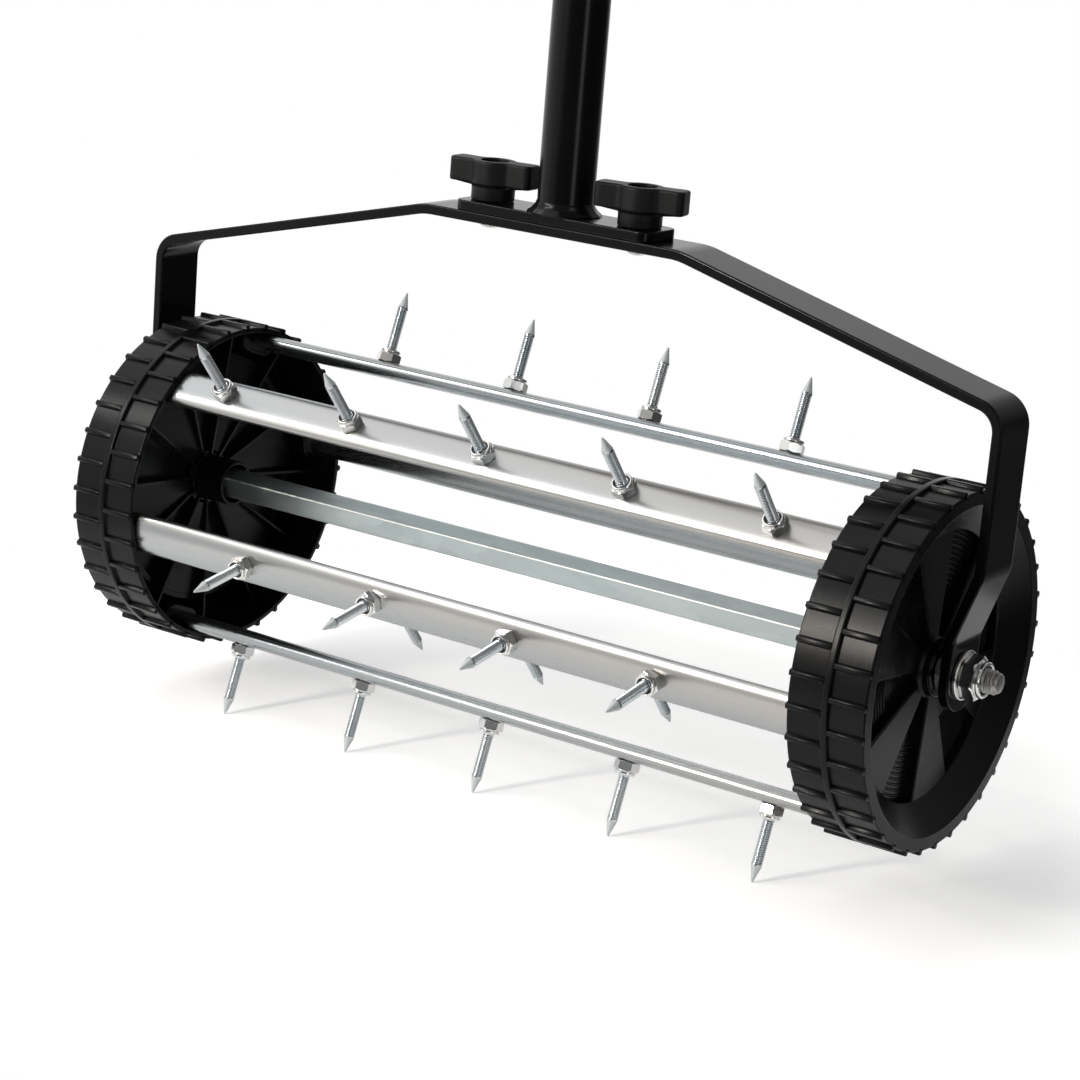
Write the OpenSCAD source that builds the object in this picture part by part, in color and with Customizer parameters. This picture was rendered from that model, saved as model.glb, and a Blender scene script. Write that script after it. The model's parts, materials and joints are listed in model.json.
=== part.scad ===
// Spike aerator: a spiked drum that rolls on a square axle in a flat steel yoke, under a tube handle.
// Millimetres. +X runs along the axle, +Z up along the handle. The origin is on the ground, under the
// middle of the axle, and the drum's lowest row of spikes touches the ground.

/* [Wheels] */
// Radius of the tread between its ribs
wheel_r = 100.5; // [96:0.5:112]
// Width of one wheel along the axle
wheel_w = 46; // [42:1:54]
// Distance between the outer faces of the two wheels
drum_w = 552; // [520:2:600]
// Thickness of the rim's wall under the tread
rim_wall = 3.3; // [2.8:0.1:3.6]
// Number of tread ribs in one row
rib_count = 35; // [24:1:40]
// Height of a tread rib
rib_h = 3; // [1:0.25:4]
// Width of a tread rib round the wheel
rib_w = 3.2; // [2:0.2:6]
// Width of the raised band between the two rows
band_w = 4; // [3:0.5:8]
// Height of the raised band
band_h = 3; // [1:0.25:4]
// Width of the flat ring round the wheel's outer face
rim_ring = 8; // [6:0.5:9]
// Depth of the dish in the wheel's outer face
dish_depth = 13; // [10:0.5:16]
// How far the dished wall runs inward from the flat ring
dish_run = 16.5; // [14:0.5:20]
// Thickness of the disc
disc_t = 3; // [2:0.5:4]
// Step between the disc's raised wedges and its recessed sectors
disc_step = 4; // [3:0.5:5]
// Angle of one raised wedge
wedge_angle = 29; // [20:1:36]
// Radius of the hub
hub_r = 16; // [15:0.5:20]
// Length of the hub's bore
hub_len = 20.5; // [16:0.5:24]
// Depth of the collar round the thrust washer
collar_depth = 5; // [4:0.5:8]
// Wall of that collar
collar_wall = 2; // [1.5:0.5:3]
// Thickness of the webs behind the disc
web_t = 2; // [1.5:0.5:3]
// Depth of the webs at the rim
web_depth = 9; // [4:1:12]
// How far the hub's outer end lies behind the wheel's outer face
hub_sink = 7.5; // [6:0.5:9]
// Spacing of the fine round ridges in the recessed sectors
ridge_pitch = 3; // [2:0.5:5]
// Thickness of the wall round each tube socket
socket_wall = 3; // [2:0.5:4]
// Depth of a tube socket
socket_depth = 12; // [8:1:16]

/* [Spike tubes] */
// Width of the flat oval tube
tube_w = 25; // [22:0.5:28]
// Thickness of the flat oval tube
tube_t = 10; // [8:0.5:12]
// Wall of the flat oval tube
tube_wall = 1.2; // [1:0.1:2]
// Distance between neighbouring spikes on one tube
spike_gap = 96; // [70:1:100]
// Angle of the first tube, from straight back toward up
drum_turn = 10; // [0:1:20]

/* [Spikes] */
// Height of a spike's point over the tube's face
spike_out = 44.4; // [36:0.2:55]
// Radius of the plain shank
shank_r = 3.3; // [2.5:0.1:3.8]
// Radius over the spike's thread
thread_r = 3.9; // [3.9:0.1:4.5]
// Length of the ground point
point_len = 10; // [6:0.5:14]
// Radius of the small flat at the very tip
tip_flat = 0.5; // [0.3:0.1:1]
// Width across the flats of a spike's lock nut
spike_nut_af = 13; // [12:0.5:14]
// Height of a spike's lock nut
spike_nut_h = 8; // [6:0.5:9]

/* [Axle] */
// Side of the square axle, and the diameter of its round ends
axle_side = 14; // [12:0.5:16]
// Turn of the square about its own axis
axle_turn = 17; // [0:1:45]
// Width across the flats of the axle's nuts
axle_nut_af = 22; // [20:1:24]
// Height of the nut between hub and arm
inner_nut_h = 6; // [5:0.5:8]
// Height of the lock nut outside the arm
lock_nut_h = 12; // [10:0.5:14]
// Outer diameter of the axle's washers
axle_washer_d = 28; // [27:1:30]
// Thickness of the axle's washers
axle_washer_t = 2.5; // [1.5:0.5:3]
// Outer radius of the thrust washer in the hub's collar
thrust_r = 11.8; // [10.5:0.1:12]
// Thickness of the thrust washer
thrust_t = 2.5; // [1.5:0.5:3.5]
// Length of thread that stands out of the lock nut
thread_out = 1; // [0.5:0.5:3]
// Length of the plain end beyond the thread
stud_len = 7; // [5:1:12]
// Radius of the plain end
stud_r = 6.8; // [5:0.1:6.9]

/* [Yoke] */
// Width of the yoke's strip
strip_w = 34; // [28:1:38]
// Thickness of the yoke's strip
strip_t = 6; // [4:0.5:7]
// Gap between a wheel's outer face and the straight part of the arm
arm_gap = 12; // [8:1:20]
// Height of the strip's middle over the axle
yoke_h = 199; // [190:1:220]
// Height of the strip's shoulder corners over the axle
shoulder_h = 148; // [130:1:160]
// Half the length of the flat middle
flat_half = 88; // [80:1:110]
// Height of the jog's upper bend over the axle
jog_top = 60; // [50:1:80]
// Height of the jog's lower bend over the axle
jog_bottom = 20; // [18:1:30]
// Depth of the arm's round end below the axle
arm_drop = 4; // [0:1:8]
// Bend radius at the shoulders
shoulder_bend = 15; // [10:1:25]
// Bend radius at the ends of the flat middle
slope_bend = 45; // [20:1:80]
// Bend radius of the jog
jog_bend = 20; // [10:1:30]

/* [Foot plate and knobs] */
// Length of the foot plate
plate_len = 134; // [130:1:150]
// Thickness of the foot plate
plate_t = 6; // [4:0.5:8]
// Distance of each clamping bolt from the handle's axis
bolt_x = 51; // [44:1:54]
// Diameter of the clamping bolts
bolt_d = 8; // [6:0.5:8]
// Diameter of the bolt's round head
bolt_head_d = 19; // [17:0.5:22]
// Height of the bolt's round head
bolt_head_h = 4.6; // [3:0.2:6]
// Diameter of the knob's boss
knob_boss_d = 25.5; // [22:0.5:28]
// Height of the knob
knob_h = 23; // [20:0.5:30]
// Length of the knob over its wings
knob_len = 54; // [44:1:56]
// Height of the wings
wing_h = 14; // [10:0.5:16]
// Width of a wing at its end
wing_w = 16; // [12:0.5:20]
// Width of a wing at the boss
wing_root = 12; // [8:0.5:14]
// Diameter of the recess in the knob's top
knob_recess_d = 17; // [14:0.5:19]
// Depth of the recess in the knob's top
knob_recess = 5; // [3:0.5:7]
// Height of the threaded insert in the knob
insert_h = 11; // [8:0.5:14]
// Wall of the threaded insert
insert_wall = 2.5; // [2:0.25:3.5]

/* [Handle] */
// Outer diameter of the handle's tubes
handle_d = 33; // [28:0.5:36]
// Wall of the handle's tubes
handle_wall = 1.5; // [1.2:0.1:2.5]
// Length of the lower tube
lower_len = 400; // [300:5:500]
// Length of the upper tube over the joint
upper_len = 460; // [350:5:560]
// Length of the upper tube's spigot inside the lower tube
spigot_len = 60; // [50:1:90]
// Radius of the bolt through the joint
joint_bolt_r = 3; // [2.5:0.5:4]
// Diameter of the cross tube
cross_d = 25; // [20:0.5:27]
// Length of the cross tube
cross_len = 380; // [340:5:450]
// Distance from the cross tube's axis to the top of the upper tube
cross_drop = 20; // [16:1:30]
// Height of the weld's bead round the lower tube
bead = 4; // [2:0.5:6]
// Height of the weld's bead round the cross tube
cross_bead = 2.5; // [1.5:0.5:4]

/* [Grips] */
// Diameter of a grip
grip_d = 34; // [30:0.5:38]
// Length of a grip
grip_len = 118; // [100:1:130]
// Diameter of the flange at the grip's inner end
grip_flange_d = 41; // [38:0.5:46]
// Width of that flange
grip_flange_w = 4; // [3:0.5:8]
// Thickness of the grip's closed end
grip_end = 6; // [4:0.5:10]

/* [Fits] */
// Radial clearance of a running or threaded fit
fit = 0.05; // [0.02:0.01:0.08]
// End play between the drum and what stays with the yoke
end_play = 0.3; // [0.3:0.05:0.6]

/* [Hidden] */
$fn = 96;

// Tubes round the drum, and the spikes that each of them carries
tube_count = 6;
spikes_on = [5, 4, 5, 4, 5, 4];
wedge_count = tube_count;
sector_angle = 360 / wedge_count;

// Wheel, measured outward along the axle from the drum's middle
wheel_out = drum_w / 2;
wheel_in = wheel_out - wheel_w;
row_w = (wheel_w - band_w) / 2;
rim_in = wheel_r - rim_wall;
rim_mid = wheel_r - rim_wall / 2;
ring_in = wheel_r - rim_ring;
disc_r = ring_in - dish_run;
disc_out = wheel_out - dish_depth;
disc_in = disc_out - disc_step - disc_t;
hub_out = wheel_out - hub_sink;
hub_in = hub_out - hub_len;
collar_in = hub_in - collar_depth;
collar_bore = thrust_r + 0.4;
dish_wall = 4;
ring_t = 6.4;
web_sink = 0.4;
ridge_start = 0.6 * disc_r;
ridge_h = 1;
ridge_w = 1.4;
rib_turn = 9.2;
rib_step = 360 / rib_count;

// Spike tubes: their flat outer face clears the inside of the rim
tube_flat = (tube_w - tube_t) / 2;
tube_clear = 0.4;
tube_face = sqrt(pow(rim_in - tube_clear, 2) - pow(tube_flat, 2));
tube_ring = tube_face - tube_t / 2;
socket_fit = 0.1;
socket_floor = 4;
tube_seat = 2;
tube_half = disc_in + tube_seat;

// Spikes, measured out from the axle's centre
spike_tail = 3;
spike_root = tube_face - tube_wall - spike_tail;
spike_nut_out = tube_face + spike_nut_h;
spike_tip = tube_face + spike_out;
collar_share = 0.28;
function tube_angle(k) = drum_turn + k * 360 / tube_count;
function places(n) = [for (i = [0:n - 1]) (i - (n - 1) / 2) * spike_gap];

// The drum rests on the row of spikes that points most nearly down
low_turn = min([for (k = [0:tube_count - 1]) abs((tube_angle(k) % 360) - 270)]);
axle_z = spike_tip * cos(low_turn) + tip_flat * sin(low_turn);

// Axle and what is stacked on its ends
axle_r = axle_side / 2;
shoulder_x = hub_in - end_play - thrust_t;
inner_nut_x = hub_out + end_play;
arm_low_in = inner_nut_x + inner_nut_h;
washer_x = arm_low_in + strip_t;
lock_nut_x = washer_x + axle_washer_t;
stud_x = lock_nut_x + lock_nut_h + thread_out;
axle_end = stud_x + stud_len;
stud_chamfer = 1;

// Yoke: corners of the line through the middle of the strip, in X and in height over the axle
arm_x = wheel_out + arm_gap + strip_t / 2;
arm_low_x = arm_low_in + strip_t / 2;
half_line = [
    [flat_half, yoke_h], [arm_x, shoulder_h],
    [arm_x, jog_top], [arm_low_x, jog_bottom], [arm_low_x, -arm_drop]
];
half_bends = [slope_bend, shoulder_bend, jog_bend, jog_bend, 0];
yoke_line = concat([for (p = reversed(half_line)) [-p[0], p[1]]], half_line);
yoke_bends = concat(reversed(half_bends), half_bends);
bend_steps = 10;
arm_hole_r = axle_r + 0.3;

// Foot plate, clamping bolts and knobs
strip_top = axle_z + yoke_h + strip_t / 2;
strip_under = strip_top - strip_t;
plate_top = strip_top + plate_t;
plate_corner = 3;
neck_play = 0.1;
bolt_hole_r = bolt_d / 2 + 0.3;
knob_base = plate_top + end_play;
bolt_top = knob_base + insert_h;
insert_bore = bolt_d / 2 + fit;
insert_r = insert_bore + insert_wall;
wing_corner = 2;
knob_turn = [5, 12];

// Handle
handle_r = handle_d / 2;
handle_in = handle_r - handle_wall;
lower_top = plate_top + lower_len;
upper_top = lower_top + upper_len;
spigot_r = handle_in - fit;
joint_z = lower_top - spigot_len / 2;
joint_nut_h = 5;
joint_bolt_af = 10;
joint_head_h = 4;
cross_r = cross_d / 2;
cross_z = upper_top - cross_drop;
cap_h = 5;
cap_plug = 12;
grip_start = cross_len / 2 + grip_end - grip_len;

// Turns its children so that local X points out from the axle at angle a and local Z lies along the axle
module about_axle(a = 0) {
    translate([0, 0, axle_z]) rotate([0, 90, 0]) rotate([0, 0, 90 + a]) children();
}

// The same at both ends of the axle, or at one
module at_side(side) {
    if (side < 0) mirror([1, 0, 0]) children();
    else children();
}

module both_sides() {
    for (side = [-1, 1]) at_side(side) children();
}

module ring(outer, inner, h) {
    difference() {
        cylinder(r = outer, h = h);
        translate([0, 0, -1]) cylinder(r = inner, h = h + 2);
    }
}

module hex(af, h) {
    cylinder(d = af / cos(30), h = h, $fn = 6);
}

// Flat oval with its width along Y
module flat_oval(w, t) {
    square([t, w - t], center = true);
    for (s = [-1, 1]) translate([0, s * (w - t) / 2]) circle(d = t);
}

module sector(inner, outer, half) {
    reach = 2 * outer;
    intersection() {
        difference() {
            circle(r = outer);
            circle(r = inner);
        }
        polygon([[0, 0], reach * [cos(half), -sin(half)], reach * [cos(half), sin(half)]]);
    }
}

// Lock nut that stands on z = 0: hexagon, then the round collar of its nylon ring
module lock_nut(af, h, bore) {
    collar = h * collar_share;
    difference() {
        union() {
            hex(af, h - collar);
            cylinder(d = 0.94 * af, h = h);
        }
        translate([0, 0, -1]) cylinder(r = bore, h = h + 2);
    }
}

// Rectangle with round corners, centred
module round_plate(l, w, corner) {
    square([l - 2 * corner, w], center = true);
    square([l, w - 2 * corner], center = true);
    for (x = [-1, 1], y = [-1, 1]) translate([x * (l / 2 - corner), y * (w / 2 - corner)]) circle(r = corner);
}

// Tread of one row: the rim's ring with its ribs
module tread_row(turn) {
    difference() {
        union() {
            circle(r = wheel_r);
            for (i = [0:rib_count - 1])
                rotate(turn + i * rib_step) translate([rim_mid, -rib_w / 2]) square([rim_wall / 2 + rib_h, rib_w]);
        }
        circle(r = rim_in);
    }
}

module tread() {
    translate([0, 0, wheel_in]) linear_extrude(row_w) tread_row(rib_turn);
    translate([0, 0, wheel_in + row_w]) ring(wheel_r + band_h, rim_in, band_w);
    translate([0, 0, wheel_out - row_w]) linear_extrude(row_w) tread_row(rib_turn + rib_step / 2);
}

// Flat ring and dished wall, as one turned section
module dish() {
    rotate_extrude() polygon([
        [rim_mid, wheel_out], [ring_in, wheel_out], [disc_r, disc_out], [disc_r, disc_in],
        [disc_r + dish_wall, disc_in], [ring_in + dish_wall / 4, wheel_out - ring_t],
        [rim_mid, wheel_out - ring_t]
    ]);
}

// Web that parts a wedge from a recess and stiffens the dish from behind, buried in the dish's wall
module web() {
    top = disc_out - web_sink;
    rotate([90, 0, 0]) translate([0, 0, -web_t / 2]) linear_extrude(web_t) polygon([
        [collar_bore + 1, disc_in - 1], [rim_mid, disc_in - web_depth],
        [rim_mid, wheel_out - ring_t / 2], [ring_in + 1, wheel_out - ring_t / 2],
        [disc_r + dish_wall / 2, top], [collar_bore + 1, top]
    ]);
}

// Disc: raised wedges and recessed sectors in turn, with a web at each edge
module disc() {
    wedge_half = wedge_angle / 2;
    recess_half = sector_angle / 2 - wedge_half;
    first_wedge = drum_turn + sector_angle / 2;
    for (i = [0:wedge_count - 1]) {
        rotate(first_wedge + i * sector_angle) {
            translate([0, 0, disc_out - disc_t]) linear_extrude(disc_t) sector(hub_r - 1, disc_r + 1, wedge_half);
            for (s = [-1, 1]) rotate(s * wedge_half) web();
        }
        rotate(drum_turn + i * sector_angle) {
            translate([0, 0, disc_in]) linear_extrude(disc_t) sector(hub_r - 1, disc_r + 1, recess_half);
            for (r = [ridge_start:ridge_pitch:disc_r - ridge_w])
                translate([0, 0, disc_in + disc_t - 0.5])
                    linear_extrude(ridge_h + 0.5) sector(r, r + ridge_w, recess_half);
        }
    }
}

// Sockets that hold the ends of the spike tubes
module sockets() {
    intersection() {
        translate([0, 0, wheel_in]) cylinder(r = rim_mid, h = wheel_w);
        for (k = [0:tube_count - 1]) rotate(tube_angle(k))
            translate([tube_ring, 0, tube_half - socket_depth]) linear_extrude(socket_depth + socket_floor)
                flat_oval(tube_w + 2 * socket_wall, tube_t + 2 * socket_wall);
    }
}

module wheel(side) {
    socket_step = side < 0 ? sector_angle : 0;
    color("#1b1b1c") about_axle() at_wheel_side(side) rotate(socket_step) difference() {
        union() {
            tread();
            dish();
            disc();
            sockets();
            translate([0, 0, disc_in]) cylinder(r = hub_r, h = hub_out - disc_in);
            translate([0, 0, collar_in]) cylinder(r = collar_bore + collar_wall, h = disc_out - collar_in);
        }
        translate([0, 0, collar_in - 1]) cylinder(r = collar_bore, h = collar_depth + 1);
        translate([0, 0, hub_in - 1]) cylinder(r = axle_r + fit, h = hub_len + 2);
        for (k = [0:tube_count - 1]) rotate(tube_angle(k))
            translate([tube_ring, 0, tube_half - socket_depth - 1]) linear_extrude(socket_depth + 1)
                flat_oval(tube_w + 2 * socket_fit, tube_t + 2 * socket_fit);
    }
}

// Inside about_axle the wheels' mirror plane is local z = 0
module at_wheel_side(side) {
    if (side < 0) mirror([0, 0, 1]) children();
    else children();
}

module wheel_left() { wheel(-1); }
module wheel_right() { wheel(1); }

// Flat oval tube with a tapped hole in its outer face for each spike
module spike_tube(k) {
    color("#c9ccd0") about_axle(tube_angle(k)) difference() {
        translate([tube_ring, 0, -tube_half]) linear_extrude(2 * tube_half) difference() {
            flat_oval(tube_w, tube_t);
            flat_oval(tube_w - 2 * tube_wall, tube_t - 2 * tube_wall);
        }
        for (x = places(spikes_on[k])) translate([tube_ring, 0, x]) rotate([0, 90, 0])
            cylinder(r = thread_r + fit, h = tube_t);
    }
}

// Spike: threaded root, plain shank, ground point
module spike() {
    rotate_extrude() polygon([
        [0, spike_root], [thread_r, spike_root], [thread_r, spike_nut_out - 1],
        [shank_r, spike_nut_out + 1], [shank_r, spike_tip - point_len], [tip_flat, spike_tip], [0, spike_tip]
    ]);
}

module spikes(k) {
    color("#b9bdc2") about_axle(tube_angle(k)) for (x = places(spikes_on[k]))
        translate([0, 0, x]) rotate([0, 90, 0]) spike();
}

module spike_nuts(k) {
    color("#d3d5d8") about_axle(tube_angle(k)) for (x = places(spikes_on[k]))
        translate([tube_face, 0, x]) rotate([0, 90, 0]) lock_nut(spike_nut_af, spike_nut_h, thread_r + fit);
}

// Square bar whose ends are turned round, threaded and left plain at the very tip
module axle() {
    color("#9fa6aa") about_axle(axle_turn) {
        translate([-axle_r, -axle_r, -shoulder_x]) cube([axle_side, axle_side, 2 * shoulder_x]);
        for (s = [0, 1]) mirror([0, 0, s]) {
            translate([0, 0, shoulder_x - 1]) cylinder(r = axle_r, h = stud_x - shoulder_x + 1);
            translate([0, 0, stud_x - 1]) cylinder(r = stud_r, h = stud_len - stud_chamfer + 1);
            translate([0, 0, axle_end - stud_chamfer])
                cylinder(r1 = stud_r, r2 = stud_r - stud_chamfer, h = stud_chamfer);
        }
    }
}

// Everything that is stacked on both ends of the axle, at distance x from the middle
module stacked(x) {
    both_sides() translate([x, 0, axle_z]) rotate([0, 90, 0]) children();
}

module thrust_washers() {
    color("#1d1d1f") stacked(shoulder_x) ring(thrust_r, axle_r + fit, thrust_t);
}

module inner_nuts() {
    color("#c4c7ca") stacked(inner_nut_x) difference() {
        hex(axle_nut_af, inner_nut_h);
        translate([0, 0, -1]) cylinder(r = axle_r + fit, h = inner_nut_h + 2);
    }
}

module axle_washers() {
    color("#cfd2d5") stacked(washer_x) ring(axle_washer_d / 2, axle_r + fit, axle_washer_t);
}

module lock_nuts() {
    color("#cfd2d5") stacked(lock_nut_x) lock_nut(axle_nut_af, lock_nut_h, axle_r + fit);
}

// Outline of a strip of thickness t that follows a line of corners with a bend at each
function unit(a, b) = (b - a) / norm(b - a);
function turn_at(pts, i) =
    let (u = unit(pts[i - 1], pts[i]), v = unit(pts[i], pts[i + 1]))
        atan2(u[0] * v[1] - u[1] * v[0], u * v);

// Points of the bend round corner i, at distance d to the left of the line
function bend_points(pts, radii, i, d) =
    let (turn = turn_at(pts, i), s = sign(turn), u = unit(pts[i - 1], pts[i]),
        left = [-u[1], u[0]], start = pts[i] - u * radii[i] * tan(abs(turn) / 2),
        centre = start + s * radii[i] * left, first = atan2(u[1], u[0]) - s * 90)
        [for (j = [0:bend_steps]) let (a = first + turn * j / bend_steps)
            centre + (radii[i] - s * d) * [cos(a), sin(a)]];

function end_point(from, to, at, d) = let (u = unit(from, to)) at + d * [-u[1], u[0]];

function side_points(pts, radii, d) = let (n = len(pts)) concat(
    [end_point(pts[0], pts[1], pts[0], d)],
    [for (i = [1:n - 2]) each bend_points(pts, radii, i, d)],
    [end_point(pts[n - 2], pts[n - 1], pts[n - 1], d)]
);

function reversed(pts) = [for (i = [len(pts) - 1:-1:0]) pts[i]];

module bent_strip(pts, radii, t) {
    polygon(concat(side_points(pts, radii, t / 2), reversed(side_points(pts, radii, -t / 2))));
}

// Flat steel strip bent over the drum, drilled for the axle and square-holed for the bolts
module yoke() {
    color("#0d0d0e") difference() {
        translate([0, 0, axle_z]) {
            rotate([90, 0, 0]) translate([0, 0, -strip_w / 2]) linear_extrude(strip_w)
                bent_strip(yoke_line, yoke_bends, strip_t);
            both_sides() translate([arm_low_in, 0, -arm_drop]) rotate([0, 90, 0])
                cylinder(d = strip_w, h = strip_t);
        }
        both_sides() translate([arm_low_in - 1, 0, axle_z]) rotate([0, 90, 0])
            cylinder(r = arm_hole_r, h = strip_t + 2);
        both_sides() translate([bolt_x, 0, strip_under + strip_t / 2])
            cube([bolt_d + 2 * neck_play, bolt_d + 2 * neck_play, strip_t + 2], center = true);
    }
}

module foot_plate() {
    color("#101011") difference() {
        translate([0, 0, strip_top]) linear_extrude(plate_t) round_plate(plate_len, strip_w, plate_corner);
        both_sides() translate([bolt_x, 0, strip_top - 1]) cylinder(r = bolt_hole_r, h = plate_t + 2);
    }
}

// Carriage bolt: low round head under the strip, square neck in it, thread up into the knob
module clamp_bolt() {
    dome_r = (pow(bolt_head_d / 2, 2) + pow(bolt_head_h, 2)) / (2 * bolt_head_h);
    intersection() {
        translate([0, 0, strip_under - bolt_head_h + dome_r]) sphere(r = dome_r);
        translate([0, 0, strip_under - bolt_head_h]) cylinder(d = bolt_head_d, h = bolt_head_h);
    }
    translate([-bolt_d / 2, -bolt_d / 2, strip_under - 1]) cube([bolt_d, bolt_d, strip_t]);
    translate([0, 0, strip_under]) cylinder(d = bolt_d, h = bolt_top - strip_under);
}

module clamp_bolts() {
    color("#b4b8bc") both_sides() translate([bolt_x, 0, 0]) clamp_bolt();
}

// One wing in plan, wider at its end than at the boss
module wing() {
    tip = knob_len / 2;
    half = wing_w / 2;
    polygon([
        [0, -wing_root / 2], [tip - wing_corner, -half], [tip, wing_corner - half],
        [tip, half - wing_corner], [tip - wing_corner, half], [0, wing_root / 2]
    ]);
    for (s = [-1, 1]) translate([tip - wing_corner, s * (half - wing_corner)]) circle(r = wing_corner);
}

module knob(turn) {
    color("#161617") rotate(turn) difference() {
        union() {
            translate([0, 0, knob_base]) cylinder(d = knob_boss_d, h = knob_h);
            for (a = [0, 180]) rotate(a) translate([0, 0, knob_base + knob_h - wing_h])
                linear_extrude(wing_h) wing();
        }
        translate([0, 0, knob_base - 1]) cylinder(r = insert_r + fit, h = insert_h + 1);
        translate([0, 0, knob_base]) cylinder(r = bolt_hole_r, h = knob_h + 1);
        translate([0, 0, knob_base + knob_h - knob_recess]) cylinder(d = knob_recess_d, h = knob_recess + 1);
    }
}

// Round threaded insert in the foot of the knob: it climbs the bolt as the knob is turned
module knob_insert() {
    color("#b98f45") translate([0, 0, knob_base]) ring(insert_r, insert_bore, insert_h);
}

module knob_left() { translate([-bolt_x, 0, 0]) knob(knob_turn[0]); }
module knob_right() { translate([bolt_x, 0, 0]) knob(knob_turn[1]); }
module knob_insert_left() { translate([-bolt_x, 0, 0]) knob_insert(); }
module knob_insert_right() { translate([bolt_x, 0, 0]) knob_insert(); }

// Hole through the joint of the two tubes, for its bolt
module joint_hole() {
    translate([0, 0, joint_z]) rotate([90, 0, 0])
        cylinder(r = joint_bolt_r + fit, h = handle_d + 2, center = true);
}

module lower_tube() {
    color("#0c0c0d") difference() {
        translate([0, 0, plate_top]) ring(handle_r, handle_in, lower_len);
        joint_hole();
    }
}

// Fillet of weld between the lower tube and the foot plate
module foot_weld() {
    color("#151516") translate([0, 0, plate_top]) rotate_extrude() polygon([
        [handle_r, 0], [handle_r + bead, 0], [handle_r + 0.8 * bead, 0.5 * bead],
        [handle_r + 0.5 * bead, 0.8 * bead], [handle_r, bead]
    ]);
}

// Upper tube: a reduced spigot inside the lower tube, and a hole near the top for the cross tube
module upper_tube() {
    color("#0c0c0d") difference() {
        union() {
            translate([0, 0, lower_top - spigot_len]) cylinder(r = spigot_r, h = spigot_len + 1);
            translate([0, 0, lower_top]) cylinder(r = handle_r, h = upper_len);
        }
        translate([0, 0, lower_top - spigot_len - 1])
            cylinder(r = spigot_r - handle_wall, h = spigot_len + upper_len + 2);
        translate([0, 0, lower_top + 2 * handle_wall]) cylinder(r = handle_in, h = upper_len);
        joint_hole();
        translate([0, 0, cross_z]) rotate([0, 90, 0]) cylinder(r = cross_r + fit, h = handle_d + 2, center = true);
    }
}

module joint_bolt() {
    color("#b4b8bc") translate([0, -handle_r, joint_z]) rotate([-90, 0, 0]) {
        translate([0, 0, -joint_head_h]) hex(joint_bolt_af, joint_head_h);
        translate([0, 0, -1]) cylinder(r = joint_bolt_r, h = handle_d + joint_nut_h + 3);
    }
}

module joint_nut() {
    color("#cfd2d5") translate([0, handle_r, joint_z]) rotate([-90, 0, 0])
        lock_nut(joint_bolt_af, joint_nut_h, joint_bolt_r + fit);
}

module cross_tube() {
    color("#0c0c0d") translate([-cross_len / 2, 0, cross_z]) rotate([0, 90, 0])
        ring(cross_r, cross_r - handle_wall, cross_len);
}

// Bead of weld round the cross tube, where it leaves the upper tube on each side
module cross_weld() {
    color("#151516") translate([0, 0, cross_z]) for (side = [-1, 1]) intersection() {
        at_side(side) rotate([0, 90, 0]) ring(cross_r + cross_bead, cross_r, handle_d);
        translate([0, 0, -handle_d]) ring(handle_r + cross_bead, handle_r, 2 * handle_d);
    }
}

// Plug that closes the top of the upper tube, clear of the cross tube
module tube_cap() {
    plug = min(cap_plug, cross_drop - cross_r - 1);
    color("#18181a") translate([0, 0, upper_top]) {
        cylinder(r = handle_r, h = cap_h - 2);
        cylinder(r = handle_r - 2, h = cap_h);
        translate([0, 0, -plug]) cylinder(r = handle_in - fit, h = plug + 1);
    }
}

// Moulded grip with a flange at its inner end and a closed, rounded outer end
module grip(side) {
    outer = grip_d / 2;
    color("#202022") at_side(side) translate([grip_start, 0, cross_z]) rotate([0, 90, 0]) difference() {
        rotate_extrude() polygon([
            [0, 0], [grip_flange_d / 2, 0], [grip_flange_d / 2, grip_flange_w],
            [outer, grip_flange_w + 2], [outer, grip_len - 3], [outer - 3, grip_len], [0, grip_len]
        ]);
        translate([0, 0, -1]) cylinder(r = cross_r + fit, h = grip_len - grip_end + 1);
    }
}

module grip_left() { grip(-1); }
module grip_right() { grip(1); }

wheel_left();
wheel_right();
spike_tube(0);  // spike_tube_1
spike_tube(1);  // spike_tube_2
spike_tube(2);  // spike_tube_3
spike_tube(3);  // spike_tube_4
spike_tube(4);  // spike_tube_5
spike_tube(5);  // spike_tube_6
spikes(0);  // spikes_1
spikes(1);  // spikes_2
spikes(2);  // spikes_3
spikes(3);  // spikes_4
spikes(4);  // spikes_5
spikes(5);  // spikes_6
spike_nuts(0);  // spike_nuts_1
spike_nuts(1);  // spike_nuts_2
spike_nuts(2);  // spike_nuts_3
spike_nuts(3);  // spike_nuts_4
spike_nuts(4);  // spike_nuts_5
spike_nuts(5);  // spike_nuts_6
axle();
thrust_washers();
inner_nuts();
axle_washers();
lock_nuts();
yoke();
foot_plate();
clamp_bolts();
knob_left();
knob_right();
knob_insert_left();
knob_insert_right();
lower_tube();
foot_weld();
upper_tube();
joint_bolt();
joint_nut();
cross_tube();
cross_weld();
tube_cap();
grip_left();
grip_right();
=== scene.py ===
# %% [markdown]
# # A spike aerator, dressed piece by piece
#
# The real tool is a drum of spiked tubes that rolls on a square axle under a bent steel yoke. The frame
# that is loaded here already has every piece at its true size and on its joint. This lesson swaps the
# plain pieces for ones with rounded edges, ribs, threads and welds, gives each surface a finish of its
# own, and sets up a camera and a small studio.
#
# Blender works in metres, but such a tool is drawn in millimetres. So each shape is drawn in
# millimetres and scaled once, when it becomes a piece.

import json
from math import atan2, cos, inf, pi, radians, sin, sqrt, tan

import bmesh
import bpy
from mathutils import Matrix, Vector

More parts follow.
